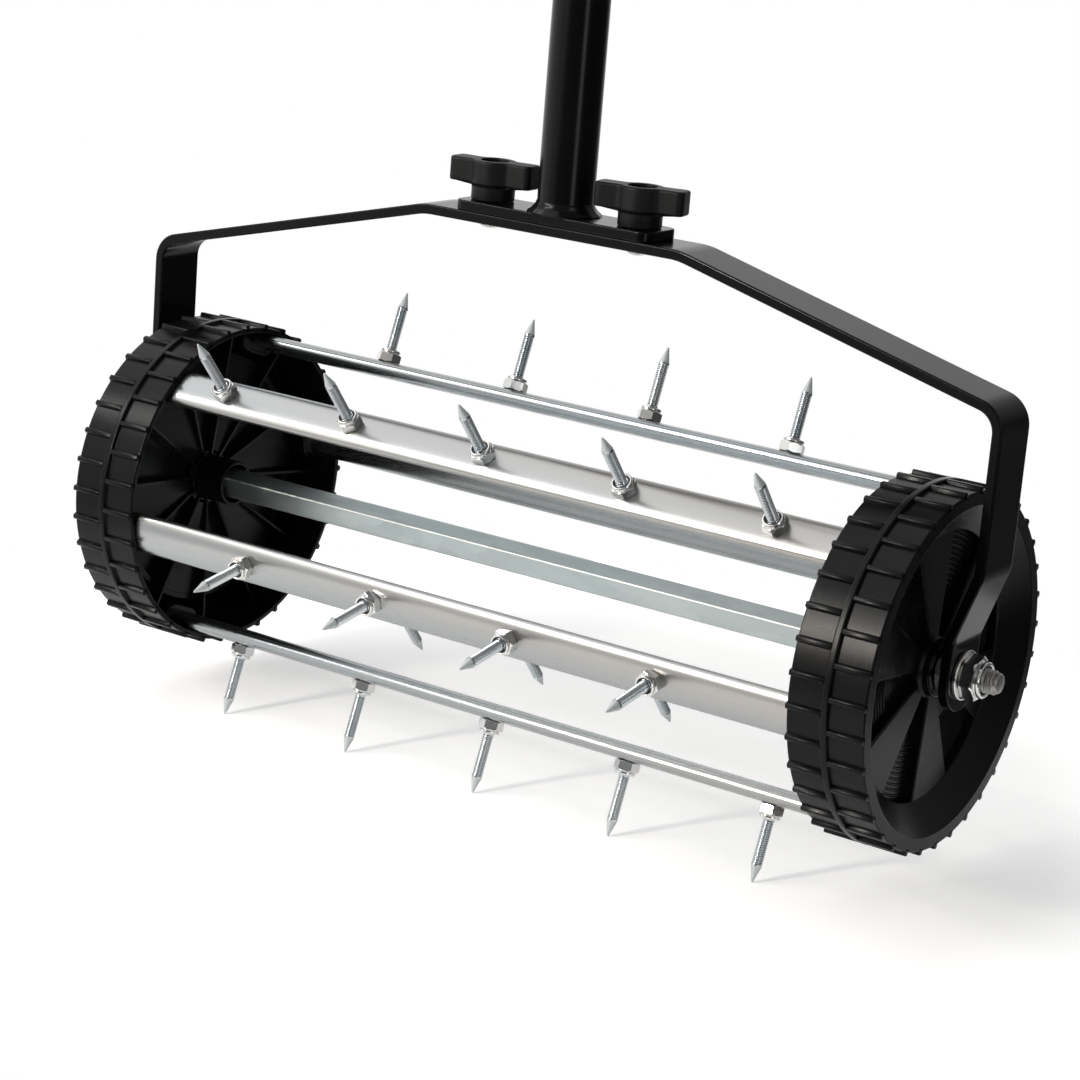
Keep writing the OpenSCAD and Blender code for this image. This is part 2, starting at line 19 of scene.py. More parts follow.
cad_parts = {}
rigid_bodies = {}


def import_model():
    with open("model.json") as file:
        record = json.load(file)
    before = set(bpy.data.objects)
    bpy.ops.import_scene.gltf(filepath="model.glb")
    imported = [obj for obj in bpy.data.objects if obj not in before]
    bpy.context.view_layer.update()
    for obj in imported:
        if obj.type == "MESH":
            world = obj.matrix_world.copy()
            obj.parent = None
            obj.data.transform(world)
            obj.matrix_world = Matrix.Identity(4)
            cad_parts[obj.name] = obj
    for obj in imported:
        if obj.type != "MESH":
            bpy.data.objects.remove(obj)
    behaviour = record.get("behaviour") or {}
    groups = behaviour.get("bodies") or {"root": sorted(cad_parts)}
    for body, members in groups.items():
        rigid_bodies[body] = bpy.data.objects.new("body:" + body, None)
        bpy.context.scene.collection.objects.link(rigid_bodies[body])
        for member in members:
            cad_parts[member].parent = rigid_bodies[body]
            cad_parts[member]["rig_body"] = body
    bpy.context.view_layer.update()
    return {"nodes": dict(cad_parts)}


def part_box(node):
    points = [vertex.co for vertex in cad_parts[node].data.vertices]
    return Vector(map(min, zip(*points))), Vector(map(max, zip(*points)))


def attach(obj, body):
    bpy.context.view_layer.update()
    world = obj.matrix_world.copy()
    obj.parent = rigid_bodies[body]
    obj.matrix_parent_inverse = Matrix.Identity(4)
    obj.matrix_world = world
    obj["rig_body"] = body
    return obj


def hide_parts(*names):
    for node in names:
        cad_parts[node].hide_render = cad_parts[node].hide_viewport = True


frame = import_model()
nut_low, nut_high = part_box("lock_nuts")
mm_per_metre = 1000
axle_height = mm_per_metre * (nut_low.z + nut_high.z) / 2

# %% [markdown]
# ## The camera
#
# The camera comes first, because every later choice is judged through it. It could be aimed with a
# constraint, but a photograph has a roll of its own. So its three directions are worked out from the
# azimuth, the elevation and the roll, and written into its matrix.

# %% Camera
def in_scene(name, data):
    """A new object for a mesh, a lamp or a camera, linked to the scene."""
    thing = bpy.data.objects.new(name, data)
    bpy.context.scene.collection.objects.link(thing)
    return thing

def aimed_camera(azimuth, elevation, roll, position, lens):
    """A camera that looks along the given angles, in degrees, from a position in metres."""
    a, e, r = radians(azimuth), radians(elevation), radians(roll)
    back = Vector((sin(a) * cos(e), -cos(a) * cos(e), sin(e)))
    right = Vector((cos(a), sin(a), 0))
    up = back.cross(right)
    side = cos(r) * right + sin(r) * up
    top = cos(r) * up - sin(r) * right
    camera = in_scene("camera", bpy.data.cameras.new("camera"))
    camera.data.lens = lens
    camera.matrix_world = Matrix.Translation(position) @ Matrix((side, top, back)).transposed().to_4x4()
    bpy.context.scene.camera = camera
    return camera

camera = aimed_camera(azimuth=33.624, elevation=15.018, roll=4.652, position=(0.9060, -1.3605, 0.5850),
                      lens=95.707)
print("camera at", [round(v, 3) for v in camera.matrix_world.translation])

# %% [markdown]
# ## Drawing helpers
#
# A pressed, turned or moulded piece never has a knife-sharp edge, and it is the rounded edge that
# catches the light. A Bevel modifier would round every edge alike. Here each corner of a drawing gets
# its own radius instead, and a pair of holding points beside it keeps the flat next to it flat.

# %% Rounded outlines
def evenly(first, last, steps):
    """Values from the first to the last, in even steps."""
    return [first + (last - first) * k / steps for k in range(steps + 1)]

def full_turn(steps):
    """Angles once round, without the last one, which is the first again."""
    return evenly(0, 2 * pi, steps)[:-1]

def arc_points(centre, radius, first, last, steps):
    """Points of an arc, from its first angle to its last."""
    x, y = centre
    return [(x + radius * cos(a), y + radius * sin(a)) for a in evenly(first, last, steps)]

def rounded(corners, radii, steps=3, hold=0.3):
    """A closed outline in which each corner is an arc, with a holding point on both sides of it.

    An arc takes less than half of the shorter side beside it, so that two arcs never meet.
    """
    arc_share, hold_share = 0.46, 1.04
    count = len(corners)
    if not isinstance(radii, (list, tuple)):
        radii = [radii] * count
    outline = []
    for i, corner in enumerate(corners):
        here = Vector(corner)
        before = Vector(corners[i - 1]) - here
        after = Vector(corners[(i + 1) % count]) - here
        angle = before.angle(after)
        room = arc_share * min(before.length, after.length)
        back = min(radii[i] / tan(angle / 2), room)
        radius = back * tan(angle / 2)
        before.normalize()
        after.normalize()
        centre = here + (before + after).normalized() * radius / sin(angle / 2)
        first, last = here + before * back - centre, here + after * back - centre
        span = pi - angle
        far = min(back + hold, room * hold_share)
        if hold:
            outline.append(here + before * far)
        for t in evenly(0, 1, steps):
            outline.append(centre + (first * sin((1 - t) * span) + last * sin(t * span)) / sin(span))
        if hold:
            outline.append(here + after * far)
    return [tuple(p) for p in outline]

def rectangle(half_x, half_y):
    return [(-half_x, -half_y), (half_x, -half_y), (half_x, half_y), (-half_x, half_y)]

def flat_oval(width, thickness, steps=20):
    """A flat oval: two half circles joined by straight sides, its width along Y."""
    r, reach = thickness / 2, (width - thickness) / 2
    return arc_points((0, reach), r, 0, pi, steps) + arc_points((0, -reach), r, pi, 2 * pi, steps)

def crowned_oval(width, thickness, power=2.4, steps=96):
    """Outline of a tube that was rolled flat: its broad faces stay a little crowned."""
    points = []
    for a in full_turn(steps):
        r = (abs(2 * cos(a) / thickness) ** power + abs(2 * sin(a) / width) ** power) ** (-1 / power)
        points.append((r * cos(a), r * sin(a)))
    return points

def sector(inner, outer, half, steps=12):
    """Corners of a piece of a ring, half degrees to each side of local X."""
    half = radians(half)
    return (arc_points((0, 0), outer, -half, half, steps)
            + arc_points((0, 0), inner, half, -half, steps))

print("a rounded 10 mm square has", len(rounded(rectangle(5, 5), 1)), "points")

# %% [markdown]
# Three ways of making a solid cover almost the whole tool. A **skin** joins rings of points, one to the
# next. A **lathe** is a skin whose rings are circles, or hexagons, or a thread, because the radius may
# change with the angle. A **slab** is a flat outline with thickness and rounded rims.

# %% Skins, lathes and slabs
def skin(rings, loop=True):
    """Joins rings of as many points each into one closed surface."""
    shape = bmesh.new()
    rows = [[shape.verts.new(p) for p in ring] for ring in rings]
    count = len(rings[0])
    pairs = list(zip(rows, rows[1:])) + ([(rows[-1], rows[0])] if loop else [])
    for low, high in pairs:
        for i in range(count):
            j = (i + 1) % count
            shape.faces.new((low[i], low[j], high[j], high[i]))
    if not loop:
        shape.faces.new(reversed(rows[0]))
        shape.faces.new(rows[-1])
    bmesh.ops.remove_doubles(shape, verts=shape.verts, dist=1e-4)
    return shape

def as_mesh(shape, sharp=32):
    """A bmesh as a mesh: faces outward and smooth, and crisp where they meet at a sharp angle."""
    bmesh.ops.recalc_face_normals(shape, faces=shape.faces)
    mesh = bpy.data.meshes.new("shape")
    shape.to_mesh(mesh)
    shape.free()
    mesh.shade_smooth()
    mesh.set_sharp_from_angle(angle=radians(sharp))
    return mesh

def lathe(section, steps=96, sharp=32):
    """Turns a closed section of (radius, height) round Z. A radius may be a function of the angle."""
    rings = []
    for radius, height in section:
        turn = radius if callable(radius) else (lambda angle, r=radius: r)
        rings.append([(turn(a) * cos(a), turn(a) * sin(a), height) for a in full_turn(steps)])
    return as_mesh(skin(rings), sharp=sharp)

def inset(outline, depth):
    """The outline moved inward, square to each of its sides. A very sharp corner moves less far."""
    least_divisor = 0.2
    moved, count = [], len(outline)
    area = sum(outline[i - 1][0] * p[1] - p[0] * outline[i - 1][1] for i, p in enumerate(outline))
    for i, p in enumerate(outline):
        here = Vector(p)
        u = (here - Vector(outline[i - 1])).normalized()
        v = (Vector(outline[(i + 1) % count]) - here).normalized()
        left = Vector((-u.y - v.y, u.x + v.x))
        left = left / max(1 + u.dot(v), least_divisor) * (1 if area > 0 else -1)
        moved.append(here + left * depth)
    return moved

def slab(outline, low, high, edge=0.6, hold=0.3, steps=3):
    """A flat outline from one height to another, with both rims rounded."""
    turn = evenly(0, pi / 2, steps)
    levels = [(edge + hold, low)] + [(edge * (1 - sin(t)), low + edge * (1 - cos(t))) for t in turn]
    if hold:
        levels += [(0, low + edge + hold), (0, high - edge - hold)]
    levels += [(edge * (1 - cos(t)), high - edge * (1 - sin(t))) for t in turn] + [(edge + hold, high)]
    rings = [[(p[0], p[1], z) for p in inset(outline, depth)] for depth, z in levels]
    return as_mesh(skin(rings, loop=False))

def hexagon(across, limit=inf):
    """Radius of a hexagon at an angle, cut down to a limit as a chamfer does at the corners."""
    return lambda a: min(across / 2 / cos((a + pi / 6) % (pi / 3) - pi / 6), limit)

def thread(outer, depth, pitch, low, high, each=8):
    """Section of a rolled thread: rings of a radius that waves as the height grows, and winds round."""
    rings = []
    for z in evenly(low, high, round((high - low) / pitch * each)):
        rings.append((lambda a, z=z: outer - depth * (0.5 - 0.5 * cos(2 * pi * z / pitch - a)), z))
    return rings

print("thread rings in 10 mm of M8:", len(thread(outer=4, depth=0.6, pitch=1.25, low=0, high=10)))

# %% [markdown]
# A **piece** is what the frame needs: one mesh in metres, at the origin, on its body, with a finish.
# Shapes are turned and mirrored while they are still loose, because a finished piece's object is never
# moved. A mirrored mesh would be inside out, so its faces are flipped back.

# %% Placing and finishing a piece
def placed(mesh, place):
    """A copy of a mesh, moved by a matrix."""
    copy = mesh.copy()
    copy.transform(place)
    if place.determinant() < 0:
        copy.flip_normals()
    return copy

def joined(meshes):
    """Several meshes as one."""
    whole = bmesh.new()
    for mesh in meshes:
        whole.from_mesh(mesh)
    result = bpy.data.meshes.new("joined")
    whole.to_mesh(result)
    whole.free()
    return result

def piece(name, meshes, finish, body, slot, *stands_for):
    """One finished piece of the aerator, made of shapes that are drawn in millimetres."""
    mesh = placed(joined(meshes), Matrix.Scale(1 / mm_per_metre, 4))
    mesh.name = name
    mesh.materials.clear()
    mesh.materials.append(finish)
    thing = in_scene(name, mesh)
    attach(thing, body)
    if stands_for:
        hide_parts(*stands_for)
    print(f"{name}: {sum(len(p.vertices) - 2 for p in mesh.polygons)} triangles")

def turned_about(axis, degrees):
    return Matrix.Rotation(radians(degrees), 4, axis)

def about_axle(angle):
    """Local X points out from the axle, at an angle from straight back toward up. Local Z is world X."""
    a = radians(angle)
    return Matrix((
        (0, 0, 1, 0), (cos(a), -sin(a), 0, 0), (sin(a), cos(a), 0, axle_height), (0, 0, 0, 1)))

# Lays what is turned about Z along X: the axle's stack, and spikes and nuts that point out of a tube
along_x = Matrix(((0, 0, 1, 0), (0, 1, 0, 0), (-1, 0, 0, 0), (0, 0, 0, 1)))
mirror_x = Matrix.Scale(-1, 4, (1, 0, 0))
mirror_z = Matrix.Scale(-1, 4, (0, 0, 1))
# Angles of the drum's tubes, in degrees
first_tube, tube_step = 10, 60
print("tube 1 points along", [round(v, 2) for v in about_axle(first_tube).col[0][:3]])

# %% [markdown]
# ## Node trees
#
# Ribs, webs, spikes and weld scales repeat by rule, so Geometry Nodes make them: the rule stays visible
# in the tree, and its numbers stay named. Two small helpers add a node and feed its inputs, for
# geometry and shader trees alike.

# %% Helpers that add and feed nodes
def feed(tree, node, inputs):
    """Gives a node its inputs. Each is a plain value or another node's socket."""
    for key, value in inputs.items():
        if isinstance(value, bpy.types.NodeSocket):
            tree.links.new(value, node.inputs[key])
        else:
            node.inputs[key].default_value = value

def add(tree, kind, inputs=None, **settings):
    """A new node. Its settings come before its inputs, because they can change which it has."""
    node = tree.nodes.new(kind)
    for key, value in settings.items():
        setattr(node, key, value)
    feed(tree, node, inputs or {})
    return node

def calc(tree, operation, *values):
    """The result of a Math node."""
    return add(tree, "ShaderNodeMath", dict(enumerate(values)), operation=operation).outputs[0]

def shape_tree(name, sizes):
    """A Geometry Nodes tree that takes a shape, named sizes and a finish."""
    tree = bpy.data.node_groups.new(name, "GeometryNodeTree")
    tree.interface.new_socket("Result", in_out="OUTPUT", socket_type="NodeSocketGeometry")
    tree.interface.new_socket("Shape", in_out="INPUT", socket_type="NodeSocketGeometry")
    for label, value in sizes.items():
        kind = "NodeSocketInt" if isinstance(value, int) else "NodeSocketFloat"
        tree.interface.new_socket(label, in_out="INPUT", socket_type=kind).default_value = value
    tree.interface.new_socket("Finish", in_out="INPUT", socket_type="NodeSocketMaterial")
    return tree, tree.nodes.new("NodeGroupInput").outputs

def close_tree(tree, geometry, given):
    """Every tree ends alike: its copies are made real and get their finish."""
    real = add(tree, "GeometryNodeRealizeInstances", {"Geometry": geometry}).outputs[0]
    coated = add(tree, "GeometryNodeSetMaterial", {"Geometry": real, "Material": given["Finish"]})
    add(tree, "NodeGroupOutput", {"Result": coated.outputs[0]})
    return tree

def grown(tree, shape, finish, **sizes):
    """Runs a tree on a shape and returns the result as a plain mesh."""
    carrier = in_scene(tree.name, shape)
    modifier = carrier.modifiers.new(tree.name, "NODES")
    modifier.node_group = tree
    for item in tree.interface.items_tree:
        if item.in_out == "INPUT" and item.name.replace(" ", "_") in sizes:
            modifier[item.identifier] = sizes[item.name.replace(" ", "_")]
        if item.in_out == "INPUT" and item.name == "Finish":
            modifier[item.identifier] = finish
    seen = carrier.evaluated_get(bpy.context.evaluated_depsgraph_get())
    mesh = bpy.data.meshes.new_from_object(seen)
    bpy.data.objects.remove(carrier)
    print(f"  {tree.name}: {len(mesh.polygons)} faces")
    return mesh

# %% [markdown]
# The first tree sets copies in a ring round local Z. A point for each copy sits at the origin, and the
# index of the point turns the copy. The second sets copies in a row along local Z and gives each its
# own turn about local X, as nuts and spikes have that were screwed in by hand.

# %% Rings and rows of copies
def ring_of_copies():
    tree, given = shape_tree("ring of copies", {"Copies": 6, "First angle": 0.0})
    points = add(tree, "GeometryNodeMeshLine", {"Count": given["Copies"], "Offset": (0, 0, 0)})
    step = calc(tree, "DIVIDE", 2 * pi, given["Copies"])
    index = add(tree, "GeometryNodeInputIndex").outputs[0]
    angle = calc(tree, "MULTIPLY_ADD", index, step, given["First angle"])
    turn = add(tree, "ShaderNodeCombineXYZ", {"Z": angle})
    copies = add(tree, "GeometryNodeInstanceOnPoints", {
        "Points": points.outputs[0], "Instance": given["Shape"], "Rotation": turn.outputs[0]})
    return close_tree(tree, copies.outputs[0], given)

def row_of_copies():
    tree, given = shape_tree("row of copies", {"Copies": 5, "Spacing": 96.0, "Turn": 6.283, "Seed": 1})
    reach = calc(tree, "MULTIPLY", calc(tree, "SUBTRACT", given["Copies"], 1.0), -0.5)
    start_z = calc(tree, "MULTIPLY", reach, given["Spacing"])
    start = add(tree, "ShaderNodeCombineXYZ", {"Z": start_z})
    offset = add(tree, "ShaderNodeCombineXYZ", {"Z": given["Spacing"]})
    points = add(tree, "GeometryNodeMeshLine", {
        "Count": given["Copies"], "Start Location": start.outputs[0], "Offset": offset.outputs[0]})
    chance = add(tree, "FunctionNodeRandomValue", {
        2: 0.0, 3: given["Turn"], "Seed": given["Seed"]}, data_type="FLOAT")
    turn = add(tree, "ShaderNodeCombineXYZ", {"X": chance.outputs[1]})
    copies = add(tree, "GeometryNodeInstanceOnPoints", {
        "Points": points.outputs[0], "Instance": given["Shape"], "Rotation": turn.outputs[0]})
    return close_tree(tree, copies.outputs[0], given)

ring_tree, row_tree = ring_of_copies(), row_of_copies()
print("trees:", ring_tree.name, "|", row_tree.name)

# %% [markdown]
# The other two trees follow a path that is drawn as a line of points. One sweeps a round bead along it,
# for moulded ridges. The other lays overlapping scales on it, each a little larger or smaller than the
# last, as a welder's hand does.

# %% Beads and weld scales on a path
def path_mesh(paths, closed=False):
    """Lines of points as a mesh of edges, for the trees that follow a path."""
    points, edges = [], []
    for path in paths:
        first = len(points)
        points += path
        edges += [(i, i + 1) for i in range(first, len(points) - 1)]
        if closed:
            edges.append((len(points) - 1, first))
    mesh = bpy.data.meshes.new("path")
    mesh.from_pydata(points, edges, [])
    return mesh

def bead_on_path():
    tree, given = shape_tree("bead on a path", {"Radius": 0.7, "Sides": 8})
    curve = add(tree, "GeometryNodeMeshToCurve", {"Mesh": given["Shape"]})
    section = add(tree, "GeometryNodeCurvePrimitiveCircle", {
        "Resolution": given["Sides"], "Radius": given["Radius"]})
    swept = add(tree, "GeometryNodeCurveToMesh", {
        "Curve": curve.outputs[0], "Profile Curve": section.outputs[0], "Fill Caps": True})
    return close_tree(tree, swept.outputs[0], given)

def weld_scales():
    tree, given = shape_tree("weld scales", {
        "Scales": 40, "Radius": 2.4, "Unevenness": 0.15, "Seed": 3})
    curve = add(tree, "GeometryNodeMeshToCurve", {"Mesh": given["Shape"]})
    spots = add(tree, "GeometryNodeResampleCurve", {
        "Curve": curve.outputs[0], "Count": given["Scales"]})
    scale = add(tree, "GeometryNodeMeshIcoSphere", {"Radius": given["Radius"], "Subdivisions": 3})
    smooth = add(tree, "GeometryNodeSetShadeSmooth", {"Geometry": scale.outputs[0]})
    low = calc(tree, "SUBTRACT", 1.0, given["Unevenness"])
    high = calc(tree, "ADD", 1.0, given["Unevenness"])
    chance = add(tree, "FunctionNodeRandomValue", {
        2: low, 3: high, "Seed": given["Seed"]}, data_type="FLOAT")
    copies = add(tree, "GeometryNodeInstanceOnPoints", {
        "Points": spots.outputs[0], "Instance": smooth.outputs[0], "Scale": chance.outputs[1]})
    return close_tree(tree, copies.outputs[0], given)

bead_tree, weld_tree = bead_on_path(), weld_scales()
print("trees:", bead_tree.name, "|", weld_tree.name)

# %% [markdown]
# ## Shared surface effects
#
# Moulded plastic, rubber and paint all show some grain. Metal that was plated in a bath shows cool and
# warm patches and fine streaks. Each effect is a node group that is built once, and every finish sets it
# to its own scale. The groups only put out values and colours; the shader itself stays in the material.

# %% Grain
def effect_group(name, inputs, outputs):
    group = bpy.data.node_groups.new(name, "ShaderNodeTree")
    for label, kind, value in inputs:
        socket = group.interface.new_socket(label, in_out="INPUT", socket_type="NodeSocket" + kind)
        if value is not None:
            socket.default_value = value
    for label, kind in outputs:
        group.interface.new_socket(label, in_out="OUTPUT", socket_type="NodeSocket" + kind)
    return group, group.nodes.new("NodeGroupInput").outputs

def outputs_of(group):
    return [item.name for item in group.interface.items_tree if item.in_out == "OUTPUT"]

def noise(tree, position, scale, detail, roughness=0.5):
    return add(tree, "ShaderNodeTexNoise", {
        "Vector": position, "Scale": scale, "Detail": detail, "Roughness": roughness}).outputs["Fac"]

def spread(tree, value, low, high, to_low=0.0, to_high=1.0):
    """Stretches the part of a value between low and high."""
    return add(tree, "ShaderNodeMapRange", {
        0: value, 1: low, 2: high, 3: to_low, 4: to_high}).outputs[0]

def mix_colours(tree, share, first, second):
    """A Mix node has sockets for each kind of value. Colours go in at 6 and 7 and come out at 2."""
    return add(tree, "ShaderNodeMix", {0: share, 6: first, 7: second}, data_type="RGBA").outputs[2]

grain_group, given = effect_group(
    "fine grain",
    [("Position", "Vector", None), ("Scale", "Float", 900.0), ("Patch scale", "Float", 14.0)],
    [("Height", "Float"), ("Patches", "Float")])
tree = grain_group
dust_to_pebbles, pebble_height = 2.3, 0.6
pebbles = add(tree, "ShaderNodeTexVoronoi", {"Vector": given["Position"], "Scale": given["Scale"]})
dust_scale = calc(tree, "MULTIPLY", given["Scale"], dust_to_pebbles)
dust = noise(tree, given["Position"], dust_scale, detail=3.0)
height = calc(tree, "MULTIPLY_ADD", pebbles.outputs["Distance"], pebble_height, dust)
clouds = noise(tree, given["Position"], given["Patch scale"], detail=3.0)
patches = spread(tree, clouds, 0.3, 0.7)
add(tree, "NodeGroupOutput", {"Height": height, "Patches": patches})
print(grain_group.name, "puts out", outputs_of(grain_group))

# %% Plated metal
plating_group, given = effect_group(
    "plated metal",
    [("Position", "Vector", None), ("Cool", "Color", (0.6, 0.64, 0.67, 1)),
     ("Warm", "Color", (0.7, 0.67, 0.64, 1)), ("Patch scale", "Float", 12.0),
     ("Streak scale", "Float", 400.0), ("Crystals", "Float", 0.0)],
    [("Colour", "Color"), ("Dullness", "Float"), ("Height", "Float")])
tree = plating_group
crystals_to_patches, streak_share, patch_dullness = 14.0, 0.25, 0.4
lightest, darkest = 1.06, 0.8
clouds = noise(tree, given["Position"], given["Patch scale"], detail=4.0, roughness=0.6)
patch = spread(tree, clouds, 0.35, 0.65)
streak = noise(tree, given["Position"], given["Streak scale"], detail=3.0, roughness=0.6)
crystal_scale = calc(tree, "MULTIPLY", given["Patch scale"], crystals_to_patches)
crystal = add(tree, "ShaderNodeTexVoronoi", {"Vector": given["Position"], "Scale": crystal_scale})
crystal_tone = add(tree, "ShaderNodeSeparateColor", {"Color": crystal.outputs["Color"]}).outputs[0]
streak_tone = calc(tree, "MULTIPLY", streak, streak_share)
tone = calc(tree, "MULTIPLY_ADD", crystal_tone, given["Crystals"], streak_tone)
metal = mix_colours(tree, patch, given["Cool"], given["Warm"])
shade = spread(tree, tone, 0.0, 1.0, lightest, darkest)
colour = add(tree, "ShaderNodeVectorMath", {0: metal, "Scale": shade}, operation="SCALE")
dullness = calc(tree, "MULTIPLY_ADD", patch, patch_dullness, tone)
add(tree, "NodeGroupOutput", {"Colour": colour.outputs[0], "Dullness": dullness, "Height": streak})
print(plating_group.name, "puts out", outputs_of(plating_group))

# %% [markdown]
# ## Finishes
#
# Two recipes cover the tool. The dark one is a colour with grain: a mould's matt pebbling, or the faint
# orange peel of sprayed paint. Its patches are lifted by a small fixed step as well as by a share of the
# colour, because a share of black is almost nothing. The bright one is metal with plating: sheen,
# streaks along the drawn tube, and the crystals of hot-dip zinc on the axle. Numbers that are the same
# all over, such as the specular level, are set on the shader's own socket.

# %% Recipes for dark and bright finishes
def surface_of(name):
    material = bpy.data.materials.new(name)
    material.use_nodes = True
    tree = material.node_tree
    position = add(tree, "ShaderNodeTexCoord").outputs["Object"]
    return material, tree, tree.nodes["Principled BSDF"], position

def bumped(tree, surface, height, strength, distance):
    bump = add(tree, "ShaderNodeBump", {
        "Strength": strength, "Distance": distance, "Height": height})
    feed(tree, surface, {"Normal": bump.outputs[0]})

def dark_finish(name, colour, rough, scale, bump, specular=0.5, patch_scale=14.0, tint=0.35):
    """Plastic, rubber or paint. Rough is its lowest and highest roughness, tint lightens its patches."""
    lift = 0.002
    material, tree, surface, position = surface_of(name)
    grain = add(tree, "ShaderNodeGroup", {
        "Position": position, "Scale": scale, "Patch scale": patch_scale}, node_tree=grain_group)
    lighter = tuple(c * (1 + tint) + lift for c in colour)
    base = mix_colours(tree, grain.outputs["Patches"], (*colour, 1), (*lighter, 1))
    roughness = spread(tree, grain.outputs["Patches"], 0.0, 1.0, *rough)
    feed(tree, surface, {"Base Color": base, "Roughness": roughness, "Specular IOR Level": specular})
    bumped(tree, surface, grain.outputs["Height"], bump, distance=0.0002)
    return material

def bright_finish(name, cool, warm, rough, bump, stretch=(1, 1, 1), patch_scale=12.0, streak_scale=400.0,
                  crystals=0.0):
    """Plated metal. Stretch is how much finer its streaks are across each axis."""
    material, tree, surface, position = surface_of(name)
    mapped = add(tree, "ShaderNodeMapping", {"Vector": position, "Scale": stretch})
    plating = add(tree, "ShaderNodeGroup", {
        "Position": mapped.outputs[0], "Cool": (*cool, 1), "Warm": (*warm, 1),
        "Patch scale": patch_scale, "Streak scale": streak_scale, "Crystals": crystals},
        node_tree=plating_group)
    roughness = spread(tree, plating.outputs["Dullness"], 0.0, 1.0, *rough)
    feed(tree, surface, {
        "Base Color": plating.outputs["Colour"], "Roughness": roughness, "Metallic": 1.0})
    bumped(tree, surface, plating.outputs["Height"], bump, distance=0.0001)
    return material

# %% [markdown]
# Two finishes are marked. The square bar is paler and a little rougher along its edges, in a broken
# line, and its turned ends are duller. A spike's point was ground after rolling, so it is duller than
# the thread. Each mark is a mask, worked out from the place on the piece: how near the bar's edge, how
# far along the axle, or how far out from it. Painted masks would need a UV map.

# %% Marks on the bar and the spikes
def marked(material, mask, colour, rougher, metallic):
    """Where the mask is 1, the finish has another colour, more roughness and its own metallic value."""
    tree = material.node_tree
    surface = tree.nodes["Principled BSDF"]

    def before(label):
        socket = surface.inputs[label]
        return socket.links[0].from_socket if socket.links else socket.default_value

    base = mix_colours(tree, mask, before("Base Color"), (*colour, 1))
    metal = add(tree, "ShaderNodeMix", {
        0: mask, 2: before("Metallic"), 3: metallic}, data_type="FLOAT")
    rough = calc(tree, "MULTIPLY_ADD", mask, rougher, before("Roughness"))
    feed(tree, surface, {"Base Color": base, "Metallic": metal.outputs[0], "Roughness": rough})

def place_on(material, degrees=0):
    """Where a point lies from the axle's middle, as X, Y and Z. The axle's own turn is taken out."""
    tree = material.node_tree
    position = add(tree, "ShaderNodeTexCoord").outputs["Object"]
    middle = (0, 0, axle_height / mm_per_metre)
    centred = add(tree, "ShaderNodeVectorMath", {0: position, 1: middle}, operation="SUBTRACT")
    turned = add(tree, "ShaderNodeVectorRotate", {
        "Vector": centred.outputs[0], "Angle": radians(-degrees)}, rotation_type="X_AXIS")
    return tree, add(tree, "ShaderNodeSeparateXYZ", {0: turned.outputs[0]}).outputs

def mark_bar(material, half_side, half_length, degrees):
    """Pale edges on the bar's square, and duller turned ends. Sizes are in metres."""
    tree, at = place_on(material, degrees)
    nearer = calc(tree, "MINIMUM", calc(tree, "ABSOLUTE", at["Y"]), calc(tree, "ABSOLUTE", at["Z"]))
    position = add(tree, "ShaderNodeTexCoord").outputs["Object"]
    ragged = noise(tree, position, scale=420.0, detail=4.0, roughness=0.7)
    reach = calc(tree, "MULTIPLY_ADD", ragged, 0.0020, nearer)
    edges = spread(tree, reach, half_side + 0.0003, half_side + 0.0006)
    marked(material, edges, (0.68, 0.68, 0.66), rougher=0.05, metallic=0.5)
    ends = spread(tree, calc(tree, "ABSOLUTE", at["X"]), half_length, half_length + 0.0005)
    marked(material, ends, (0.36, 0.35, 0.34), rougher=0.02, metallic=0.85)

def mark_points(material, start):
    """Duller ground points, from a distance in metres out from the axle."""
    tree, at = place_on(material)
    square = calc(tree, "MULTIPLY_ADD", at["Y"], at["Y"], calc(tree, "MULTIPLY", at["Z"], at["Z"]))
    ground = spread(tree, calc(tree, "SQRT", square), start - 0.0003, start + 0.0005)
    marked(material, ground, (0.56, 0.6, 0.61), rougher=0.3, metallic=0.45)

print("marks are counted from", round(axle_height / mm_per_metre, 4), "m above the floor")

# %% The finishes of this tool
wheel_plastic = dark_finish("wheel plastic", (0.0016, 0.0016, 0.0018), rough=(0.22, 0.3), scale=1400.0,
                            bump=0.12, specular=0.16)
black_paint = dark_finish("black paint", (0.0015, 0.0015, 0.0018), rough=(0.14, 0.22), scale=160.0,
                          bump=0.012, specular=0.17, patch_scale=9.0, tint=0.2)
knob_plastic = dark_finish("knob plastic", (0.003, 0.003, 0.0033), rough=(0.38, 0.5), scale=1900.0,
                           bump=0.35, specular=0.18)
grip_rubber = dark_finish("grip rubber", (0.014, 0.014, 0.015), rough=(0.6, 0.78), scale=1500.0,
                          bump=0.5, specular=0.4)
nut_nylon = dark_finish("nut nylon", (0.02, 0.02, 0.024), rough=(0.35, 0.5), scale=1200.0, bump=0.1)
tube_zinc = bright_finish("tube zinc", (0.355, 0.395, 0.42), (0.475, 0.44, 0.405), rough=(0.24, 0.38),
                          bump=0.025, stretch=(0.05, 2, 2))
spike_zinc = bright_finish("spike zinc", (0.50, 0.55, 0.58), (0.62, 0.64, 0.65), rough=(0.16, 0.3),
                           bump=0.04, patch_scale=30.0, streak_scale=500.0)
nut_zinc = bright_finish("nut zinc", (0.72, 0.74, 0.75), (0.78, 0.75, 0.71), rough=(0.1, 0.24),
                         bump=0.08, patch_scale=60.0, streak_scale=500.0)
galvanised = bright_finish("galvanised bar", (0.47, 0.55, 0.56), (0.58, 0.63, 0.63), rough=(0.28, 0.44),
                           bump=0.2, stretch=(0.4, 1, 1), patch_scale=9.0, streak_scale=300.0,
                           crystals=0.4)
